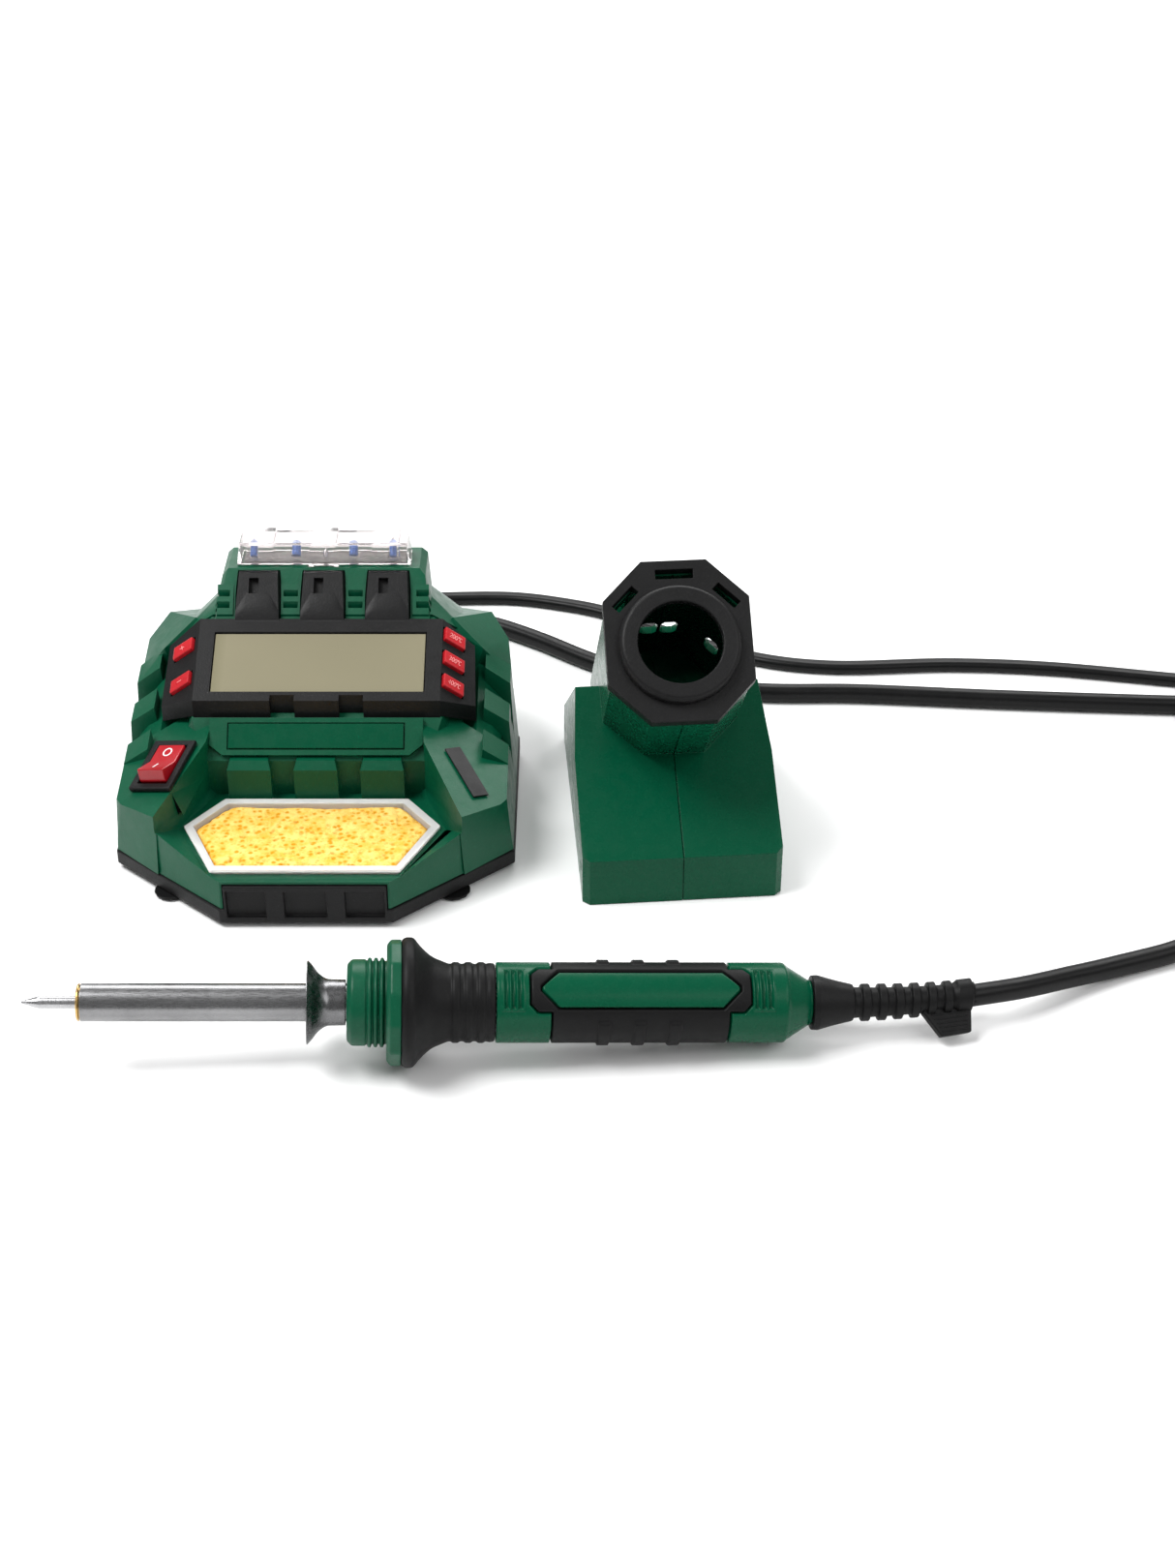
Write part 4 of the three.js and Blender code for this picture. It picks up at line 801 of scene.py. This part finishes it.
def make_iron():
    turned("iron_tip_bit", [(0, 0), (0.3, 0.1), (1.65, 4.4, 0.6), (1.65, 27), (2.6, 27), (2.6, 33),
                            (0, 33)], "steel", ("iron_tip",), "steel", 0.15, closed=False)
    turned("iron_end_ring", [(1.95, 14.3), (4.6, 14.3), (4.95, 14.6), (4.95, 15), (4.3, 15),
                             (4.3, 16.8), (1.95, 16.8)], "brass", ("tip_end_ring",), "brass",
           0.12)
    turned("iron_tube", [(4.6, 15.3), (5, 15.3, 0.3), (5, 98.4), (3.9, 98.4), (3.9, 17.2),
                         (4.6, 17.2)], "tube", ("heater_tube",), "chrome_steel", 0.1)
    turned("iron_shield", [(5.3, 79), (5.3, 76.8), (7.2, 74.9, 1.5), (9.9, 73.8), (10.9, 73.4, 0.1),
                           (11.0, 73.6, 0.1), (9.6, 74.9), (7.4, 76.5, 1.5), (6.1, 78.6, 0.8),
                           (6, 83.5), (5.3, 83.5)], "shield", ("heat_shield",), "chrome_steel",
           0.15)
    nut = [(5.3, 83.8), (10.0, 83.8, 0.5), (11.3, 85.1, 0.5), (11.3, 88.6, 0.3)]
    for s in (89.7, 91.3, 92.9):
        nut += [(10.8, s - 0.7), (11.7, s - 0.35), (11.7, s + 0.35), (10.8, s + 0.7)]
    turned("iron_nut", nut + [(11.0, 94.4), (5.3, 94.4)], "green", ("front_nut",), "green_shell",
           0.3, 128)
    turned("iron_flange", [(5.3, 94.1), (15.2, 94.1, 0.5), (16.6, 95.2, 0.5), (16.6, 97.9),
                           (5.3, 97.9)], "green", ("handle_flange",), "green_shell", 0.3, 144,
           bend=facet_flange)
    guard = [(5.3, 97.9), (16.3, 97.9, 0.6), (17.05, 99, 0.8), (17.05, 101, 0.9),
             (14.6, 102.9, 1.5), (12, 105.7, 2), (10.7, 108.9, 1)]
    guard += [(10.2, 110.2)] + ribbed(110.4, 120.4, 3.3, 10.15, 0.45, 1.25)
    turned("iron_guard", guard + [(10.4, 121), (10.2, 122.3, 0.4), (5.3, 122.3)], "rubber",
           ("finger_guard",), "black_rubber", 0.35, 128)
    skin("iron_handle", levels((122.6, 124.2, 0.4), (124.2, 136, 0.22), (136, 185, 0.3),
                               (185, 196, 0.22), (196, 206.0, 0.4)), handle_radius,
         "green_smooth", replaces=("handle_shell",), slot="green_shell", inner=6)
    skin("iron_grip", levels((130.6, 190, 0.25)), grip_radius, "rubber", replaces=("grip_sleeve",),
         slot="black_rubber")
    skin("iron_panel", levels((133.5, 187.2, 0.25)), panel_radius, "green_smooth",
         replaces=("handle_panel",), slot="green_shell", inner=8.3)
    # heating element, mostly hidden in the tube
    turned("iron_element", [(0, 34), (3.2, 34), (3.2, 121.5), (0, 121.5)], "ceramic",
           ("heating_element",), "ceramic", 0.3, 48, closed=False)
    relief = [(0, 206.3), (7.2, 206.3), (7.3, 208), (6.0, 212.5, 3), (4.9, 217.4, 0.6),
              (4.2, 217.6)]
    for k in range(6):
        s = 219.8 + k * 4.5
        r = 5.0 - k * 0.1
        relief += [(r - 1.0, s - 0.3), (r, s), (r, s + 2), (r - 1.0, s + 2.3)]
    relief += [(4.0, 245.6), (4.5, 246.2), (4.5, 250), (3.4, 250.3), (3.4, 251), (0, 251)]
    turned("iron_relief", relief, "rubber", ("strain_relief",), "black_rubber", 0.25, 72,
           closed=False, bend=relief_bend)
    lean = math.radians(-50)
    # the tag hangs from the relief's collar, on its bent end
    tag_x = Vector((math.cos(lean), math.sin(lean), 0))
    tag_y = Vector((0, -0.2, 1)).normalized()
    tag_z = tag_x.cross(tag_y)
    base = IRON @ Vector((0, -relief_sag(TAG_S), TAG_S))
    turn = IRON.to_3x3()
    tag = frame_at(base, (turn @ tag_x) / MM, (turn @ tag_y) / MM, (turn @ tag_z) / MM)
    prism("iron_tag", [(-2, -6.8), (-3.4, -7), (-10.6, -2), (-10.3, 6.6), (-2, 7)],
          -1.2, 1.2, tag, "rubber", "iron", width=0.35, slot="black_rubber")
    for k in range(5):
        x = -4.4 - k * 1.15
        low, high = -4.8 + k * 0.72, 5.6
        prism(f"iron_tag_rib_{k}", [(x, low), (x - 0.45, low + 0.3), (x - 0.45, high), (x, high)],
              -1.42, 1.42, tag, "rubber", "iron", width=0.12, slot="black_rubber", segments=2)


make_iron()


# ---- the sponge ----
SPONGE_OUTLINE = [(25.7, -56.2), (34.2, -36.4), (25.7, -24.6), (-25.7, -24.6), (-34.2, -36.4),
                  (-25.7, -56.2)]
SPONGE_Z = (8.6, 16.4)
SPONGE_MID = Vector((0, -39.5))
SPONGE_TOP = 17.4                  # no torn wall stands higher than this
SPONGE_SAG = 1.1                   # how far the top rounds off at its edge
EDGE_POINTS = 520
TOP_RINGS = 112
SIDE_LEVELS = (0.9, 0.75, 0.6, 0.45, 0.3, 0.15, 0.0)


def cellulose(p):
    """Height of the torn cell walls at p, mm; negative where a pore is open."""
    out = 0.35 * noise.noise(p * 0.09) + 0.16 * noise.noise(p * 0.45 + Vector((7, 3, 1)))
    big = noise.voronoi(p * 0.42 + Vector((3, 9, 4)))[0][0]
    small = noise.voronoi(p * 0.95)[0][0]
    out -= 0.85 * (1 - step(0.10, 0.34, big)) * step(-0.25, 0.2, noise.noise(p * 0.12))
    out -= 0.40 * (1 - step(0.12, 0.40, small))
    return out


def make_sponge():
    pts = fillet(SPONGE_OUTLINE, 2.2, closed=True, steps=8)
    line = [Vector(p) for p in pts]
    total = sum((line[(i + 1) % len(line)] - line[i]).length for i in range(len(line)))
    count = EDGE_POINTS
    edge = []
    for k in range(count):
        want, i = total * k / count, 0
        while want > (line[(i + 1) % len(line)] - line[i]).length:
            want -= (line[(i + 1) % len(line)] - line[i]).length
            i += 1
        a, b = line[i], line[(i + 1) % len(line)]
        edge.append(a + (b - a).normalized() * want)
    mid = SPONGE_MID
    low, high = SPONGE_Z
    rows = [(f / TOP_RINGS, None) for f in range(1, TOP_RINGS + 1)]
    rows += [(1.0, h) for h in SIDE_LEVELS]
    verts, faces = [UNIT @ Vector((mid.x, mid.y, high))], []
    for f, side in rows:
        for q in edge:
            p = mid + (q - mid) * f
            inside = (1 - f) * (q - mid).length
            if side is None:
                z = high - SPONGE_SAG * (1 - min(1.0, inside / 2.2)) ** 2 + 0.25 * (1 - f * f)
                rough = cellulose(Vector((p.x, p.y, 0)))
                verts.append(UNIT @ Vector((p.x, p.y, min(SPONGE_TOP, z + rough))))
            else:
                z = low + (high - SPONGE_SAG - low) * side
                out = (q - mid).normalized()
                dent = 0.5 * cellulose(Vector((q.x, q.y, z)))
                p = q + out * min(0.3, dent - 0.1)
                verts.append(UNIT @ Vector((p.x, p.y, z)))
    faces += [(0, 1 + k, 1 + (k + 1) % count) for k in range(count)]
    for i in range(len(rows) - 1):
        a, b = 1 + i * count, 1 + (i + 1) * count
        for k in range(count):
            j = (k + 1) % count
            faces.append((a + k, a + j, b + j, b + k))
    last = 1 + (len(rows) - 1) * count
    faces.append(tuple(last + k for k in range(count)))
    obj = add_object("sponge_pad_cellulose", mesh_from("sponge_pad_cellulose", verts, faces),
                     "sponge", "sponge_pad", replaces=("sponge",), slot="sponge")


make_sponge()


# ---- small parts of the control unit ----
PANEL_X, PANEL_Y, PANEL_Z = 0.3007, 0.1614, 46.7     # the side panel's slopes and height
PANEL = Vector((-PANEL_X, -PANEL_Y, 1)).normalized()
SWITCH_X, SWITCH_Y = 43.3, 24.8
SWITCH_AT = (-SWITCH_X, -SWITCH_Y, PANEL_Z - PANEL_X * SWITCH_X - PANEL_Y * SWITCH_Y)
SWITCH_LONG = Vector((0.29, 0.944, 0.224))
SWITCH_LONG = (SWITCH_LONG - PANEL * SWITCH_LONG.dot(PANEL)).normalized()
SWITCH_SHORT = SWITCH_LONG.cross(PANEL)
SWITCH = frame_at(unit(*SWITCH_AT), SWITCH_SHORT, SWITCH_LONG, PANEL)
ROCKER_TILT = math.radians(-13)
ROCKER = SWITCH @ Matrix.Rotation(ROCKER_TILT, 4, "X")
WING_X, WING_Y, WING_Z, WING_EDGE = 0.7, 0.457, 46.4, 36.5     # slopes of the button panels


def glyph(name, strokes, matrix, mat, body, wide, tall):
    """Thin raised strokes on a face: each stroke is a line of (x, y) points, mm."""
    verts, faces = [], []
    for line in strokes:
        path = [Vector(p) for p in line]
        base = len(verts)
        for i, p in enumerate(path):
            d = (path[min(i + 1, len(path) - 1)] - path[max(i - 1, 0)]).normalized()
            s = Vector((-d.y, d.x)) * wide / 2
            for q, z in ((p - s, -0.15), (p - s * 0.8, tall), (p + s * 0.8, tall), (p + s, -0.15)):
                verts.append(matrix @ Vector((q.x, q.y, z)))
        for i in range(len(path) - 1):
            for k in range(4):
                j = (k + 1) % 4
                a, b = base + i * 4, base + i * 4 + 4
                faces.append((a + k, a + j, b + j, b + k))
        end = base + (len(path) - 1) * 4
        faces += [(base, base + 1, base + 2, base + 3), (end, end + 3, end + 2, end + 1)]
    return add_object(name, mesh_from(name, verts, faces), mat, body, smooth=False)


def ellipse(cx, cy, rx, ry, count=28):
    turns = [math.radians(360.0 * k / count) for k in range(count + 1)]
    return [(cx + rx * math.cos(a), cy + ry * math.sin(a)) for a in turns]


def make_switch():
    side = [(-6.9, 3.9), (-7.3, 0), (-5.6, -3.2), (5.6, -3.2), (7.3, 0), (6.9, 3.9), (0, 2.4)]
    stand = ROCKER @ Matrix(((0, 0, 1, 0), (1, 0, 0, 0), (0, 1, 0, 0), (0, 0, 0, 1)))
    prism("rocker_cap", side, -4.4, 4.4, stand, "red_clear", "rocker", width=0.35,
          replaces=("switch_rocker",), slot="red_translucent")
    rise = math.atan2(1.5, 6.9)
    upper = ROCKER @ Matrix.Translation((0, 3.6, 3.19)) @ Matrix.Rotation(rise, 4, "X")
    lower = ROCKER @ Matrix.Translation((0, -3.6, 3.19)) @ Matrix.Rotation(-rise, 4, "X")
    glyph("rocker_mark_off", [ellipse(0, 0.2, 1.25, 1.5)], upper, "mark", "rocker", 0.5, 0.06)
    glyph("rocker_mark_on", [[(0, -1.5), (0, 1.5)]], lower, "mark", "rocker", 0.5, 0.06)


DIGITS = {
    "0": [ellipse(0.3, 0.5, 0.3, 0.5, 14)],
    "2": [[(0, 0.8), (0.15, 1), (0.45, 1), (0.6, 0.8), (0.55, 0.55), (0, 0), (0.6, 0)]],
    "3": [[(0, 0.9), (0.3, 1), (0.6, 0.8), (0.3, 0.55), (0.6, 0.25), (0.3, 0), (0, 0.1)]],
    "4": [[(0.45, 0), (0.45, 1), (0, 0.3), (0.6, 0.3)]],
    "o": [ellipse(0.15, 0.88, 0.13, 0.15, 10)],
    "C": [[(0.6, 0.85), (0.35, 1), (0.1, 0.85), (0, 0.5), (0.1, 0.15), (0.35, 0), (0.6, 0.15)]],
}


def make_button_marks():
    rows = {"button_plus": (-1, 40.8, 11.4), "button_minus": (-1, 40.6, 0.2),
            "button_200": (1, 39.9, 14.2), "button_300": (1, 39.9, 6.5),
            "button_400": (1, 39.9, -1.2)}
    for name, (side, x, y) in rows.items():
        out = Vector((side * WING_X, -WING_Y, 1)).normalized()
        z = WING_Z + WING_Y * y - WING_X * (x - WING_EDGE)
        right = Vector((1, 0, -side * WING_X)).normalized()
        up = out.cross(right)
        at = frame_at(unit(side * x, y, z) + out * 1.2 * MM, right, up, out)
        if name == "button_plus":
            strokes = [[(-0.8, 0), (0.8, 0)], [(0, -0.8), (0, 0.8)]]
        elif name == "button_minus":
            strokes = [[(-0.8, 0), (0.8, 0)]]
        else:
            strokes, pen = [], -2.05
            for sign in name[-3:] + "oC":
                for line in DIGITS[sign]:
                    strokes.append([(pen + px * 1.15, py * 1.5 - 0.75) for px, py in line])
                pen += 0.5 if sign == "o" else 0.95
        glyph(name + "_mark", strokes, at, "mark_red", name, 0.2, 0.12)


# ---- the holder's front plate ----
YAW = math.radians(5)
TILT = math.radians(48)


def holder_vector(x, y, z):
    return Vector((x * math.cos(YAW) - y * math.sin(YAW),
                   x * math.sin(YAW) + y * math.cos(YAW), z))


HOLDER_AT = Vector((48.7, -24.2, 0))
BORE_R, BORE_POINTS = 15, 64
MOUTH = frame_at((HOLDER_AT + holder_vector(0, 17.8, 76)) * MM, holder_vector(1, 0, 0),
                 holder_vector(0, math.sin(TILT), math.cos(TILT)),
                 holder_vector(0, -math.cos(TILT), math.sin(TILT)))


def slotted_plate(name, outline, holes, z0, z1, matrix, mat, body, width, **kw):
    """A flat plate with holes: outline and holes are lists of (x, y) points, mm."""
    bm = bmesh.new()
    edges = []
    for line in [outline] + holes:
        ring = [bm.verts.new(matrix @ Vector((x, y, z1))) for x, y in line]
        edges += [bm.edges.new((ring[i - 1], ring[i])) for i in range(len(ring))]
    made = bmesh.ops.triangle_fill(bm, edges=edges, use_beauty=True, use_dissolve=False)
    faces = [g for g in made["geom"] if isinstance(g, bmesh.types.BMFace)]
    down = (matrix @ Vector((0, 0, z0))) - (matrix @ Vector((0, 0, z1)))
    copy = bmesh.ops.extrude_face_region(bm, geom=faces, use_keep_orig=True)
    moved = [g for g in copy["geom"] if isinstance(g, bmesh.types.BMVert)]
    bmesh.ops.translate(bm, verts=moved, vec=down)
    bmesh.ops.recalc_face_normals(bm, faces=bm.faces)
    bmesh.ops.dissolve_limit(bm, angle_limit=0.01, verts=bm.verts, edges=bm.edges,
                             delimit={"NORMAL"})
    mesh = bpy.data.meshes.new(name)
    bm.to_mesh(mesh)
    bm.free()
    return bevel(add_object(name, mesh, mat, body, **kw), width * MM, 3)


def make_front_plate():
    half, top, foot, corner = 20.8, 25.4, -22.2, 11.5
    outline = [(half, foot + corner), (half, top - corner), (half - corner, top),
               (-half + corner, top), (-half, top - corner), (-half, foot + corner),
               (-half + corner, foot), (half - corner, foot)]
    bore = [(BORE_R * math.cos(2 * math.pi * k / BORE_POINTS),
             BORE_R * math.sin(2 * math.pi * k / BORE_POINTS)) for k in range(BORE_POINTS)]
    holes = [bore, [(-5.4, 19.9), (5.4, 19.9), (5.4, 22.7), (-5.4, 22.7)]]
    for side in (-1, 1):
        c = math.sqrt(0.5)
        holes.append([(side * (14.3 + a * c + b * c), 14.3 - a * c + b * c)
                      for a, b in ((-4.2, -1.3), (4.2, -1.3), (4.2, 1.4), (-4.2, 1.4))])
    slotted_plate("holder_plate", outline, holes, -7.4, -3.6, MOUTH, "black", "holder", 0.5,
                  replaces=("holder_front_plate",), slot="black_shell")
    lathe("holder_ring", [(12, -0.4, 0.5), (12, -2.6, 0.4), (15, -4.2, 0.6), (15, -7.4),
                          (17.2, -7.4), (17.3, -1.6, 1.2), (16.4, -0.1, 0.8), (12.3, 0, 0.5)],
          MOUTH, "black", "holder", radius=0.4, segments=128, closed=True, slot="black_shell")


TONGUE = (-0.14, 0.14)             # the strips' two sides, in the 0.3 mm gap


def make_seam():
    """Thin strips that close the gap between the holder's half shells along their seam."""
    home = frame_at(HOLDER_AT * MM, holder_vector(1, 0, 0), holder_vector(0, 1, 0),
                    Vector((0, 0, 1)))
    walls = [[(0.4, 0), (2, 0), (2, 13.6), (0.4, 14.6)],
             [(0.4, 14.6), (27.9, 32), (27.9, 30), (2, 13.6)],
             [(47.9, 44.4), (91.4, 12), (89.6, 10.8), (47.9, 42.2)],
             [(91.5, 0), (89.8, 0), (89.8, 11.2), (91.5, 11.8)]]
    for k, line in enumerate(walls):
        hull(f"holder_tongue_{k}", [(x, y, z) for x in TONGUE for y, z in line], home,
             "green_smooth", "holder", width=0.02, segments=1, slot="green_shell")
    rooms = [(22.6, 24.2, -77.8, -7.9), (-20.9, -19.4, -77.8, -7.9), (-20.9, 24.2, -77.8, -76.2)]
    for k, (y0, y1, z0, z1) in enumerate(rooms):
        hull(f"barrel_tongue_{k}", [(x, y, z) for x in TONGUE for y in (y0, y1)
                                    for z in (z0, z1)], MOUTH,
             "green_smooth", "holder", width=0.02, segments=1, slot="green_shell")


def make_switch_cover():
    """An added green wedge over the switch body's lower corner, which breaks the recess wall."""
    points = [(6.4, -9.6, -9.7), (6.4, 5.5, -9.7), (6.4, -9.6, -0.8), (5.4, -8.6, -9.7),
              (5.4, 5.5, -9.7), (5.4, -8.6, -0.8)]
    hull("switch_cover", points, SWITCH, "green", "root", width=0.1, segments=2,
         slot="green_shell")


make_front_plate()
make_seam()
make_switch()
make_switch_cover()
make_button_marks()


def make_spare_tips():
    """Spare tips lean back in their clear case: coloured sleeves with bright points."""
    rows = [(-21.5, 1.1, 4, 5.2), (-8.6, 1.35, 4, 4.8), (0.3, 0.7, 2, 3.6), (8.8, 1.3, 4, 4.8),
            (20.8, 1.1, 4, 5.2)]
    lean = math.radians(45)
    rack = 65.3 + 0.9
    for k, (x, r, sleeve, point) in enumerate(rows, 1):
        base = (x, 36.4, rack + 0.3 + r * math.sin(lean))
        at = frame_at(unit(*base), (1, 0, 0), (0, math.cos(lean), -math.sin(lean)),
                      (0, math.sin(lean), math.cos(lean)))
        look = "steel" if k == 3 else "blue"
        lathe(f"spare_sleeve_{k}", [(0, 0), (r, 0), (r, sleeve), (r * 0.7, sleeve * 1.08),
                                    (0, sleeve * 1.08)], at, look, "root", radius=0.15,
              segments=32, replaces=(f"spare_tip_{k}",), slot="blue_plastic")
        lathe(f"spare_point_{k}", [(0, sleeve * 0.8), (r * 0.6, sleeve * 0.8),
                                   (r * 0.5, sleeve * 1.05), (r * 0.1, point), (0, point)], at,
              "steel", "root", radius=0.1, segments=32, slot="steel")


make_spare_tips()


# ---- stage ----
FLOOR_HALF, FLOOR_Z = 6, -0.0002


def make_stage():
    mat, tree, bsdf, coord = node_tree("floor_paper")
    tone = mix_colors(tree, add_noise(tree, coord, 6, 2), (0.90, 0.90, 0.90), (0.93, 0.93, 0.93))
    tree.links.new(tone, bsdf.inputs["Base Color"])
    set_sockets(bsdf, {"Roughness": 0.9, "Specular IOR Level": 0.1})
    corners = [(x * FLOOR_HALF, y * FLOOR_HALF, FLOOR_Z)
               for x, y in ((-1, -1), (1, -1), (1, 1), (-1, 1))]
    mesh = mesh_from("floor", corners, [(0, 1, 2, 3)])
    obj = bpy.data.objects.new("floor", mesh)
    bpy.context.scene.collection.objects.link(obj)
    mesh.materials.append(mat)


def add_light(name, size, power, place, look):
    data = bpy.data.lights.new(name, "AREA")
    data.shape = "RECTANGLE"
    data.size, data.size_y = size
    data.energy = power
    obj = bpy.data.objects.new(name, data)
    bpy.context.scene.collection.objects.link(obj)
    obj.location = place
    obj.rotation_euler = (Vector(look) - Vector(place)).to_track_quat("-Z", "Y").to_euler()


def make_lights():
    world = bpy.data.worlds.new("studio")
    bpy.context.scene.world = world
    world.use_nodes = True
    background = world.node_tree.nodes["Background"]
    set_sockets(background, {"Color": (1, 1, 1, 1), "Strength": 0.34})
    add_light("key", (0.6, 0.6), 17, (-0.62, -0.12, 1.15), (0, 0.02, 0))
    add_light("fill", (1.2, 0.8), 7, (0.80, -0.50, 0.95), (0, 0, 0))
    add_light("back", (1.4, 0.5), 13, (0.1, 0.95, 0.80), (0, 0, 0.03))


make_stage()
make_lights()
scene = bpy.context.scene
scene.view_settings.view_transform = "Standard"


# ---- CAD nodes that keep their shape ----
KEPT = [
    ("base_tray", "black", 0.5), ("upper_shell", "green", 0.45), ("display_bezel", "black", 0.5),
    ("display_window", "lcd", 0.15), ("lcd_module", "board", 0.1), ("control_board", "board", 0.1),
    ("power_board", "board", 0.1), ("name_plate", "green_smooth", 0.15),
    ("rating_strip", "black_fine", 0.1), ("tip_rack", "clear", 0.2),
    ("tip_case_lid", "clear", 0.35), ("holder_left_shell", "green_smooth", 0.5),
    ("holder_right_shell", "green_smooth", 0.5),
    ("holder_weight", "iron_raw", 0.3), ("sponge_tray", "tray", 0.3),
    ("switch_bezel", "black", 0.35), ("mains_gland", "rubber", 0.2), ("lead_gland", "rubber", 0.2),
]
KEPT += [(f"foot_{i}", "rubber", 0.3) for i in range(1, 5)]
KEPT += [(f"case_screw_{i}", "steel", 0.2) for i in range(1, 5)]
KEPT += [(n, "red", 0.35) for n in ("button_plus", "button_minus", "button_200", "button_300",
                                    "button_400")]


def dress(obj, mat, width):
    """A look and soft edges for a CAD node that keeps its shape."""
    obj.data.materials.clear()
    obj.data.materials.append(MATS[mat])
    for poly in obj.data.polygons:
        poly.use_smooth = True
    bevel(obj, width * MM, 2, 25, weld=True)


for name, mat, width in KEPT:
    dress(nodes[name], mat, width)
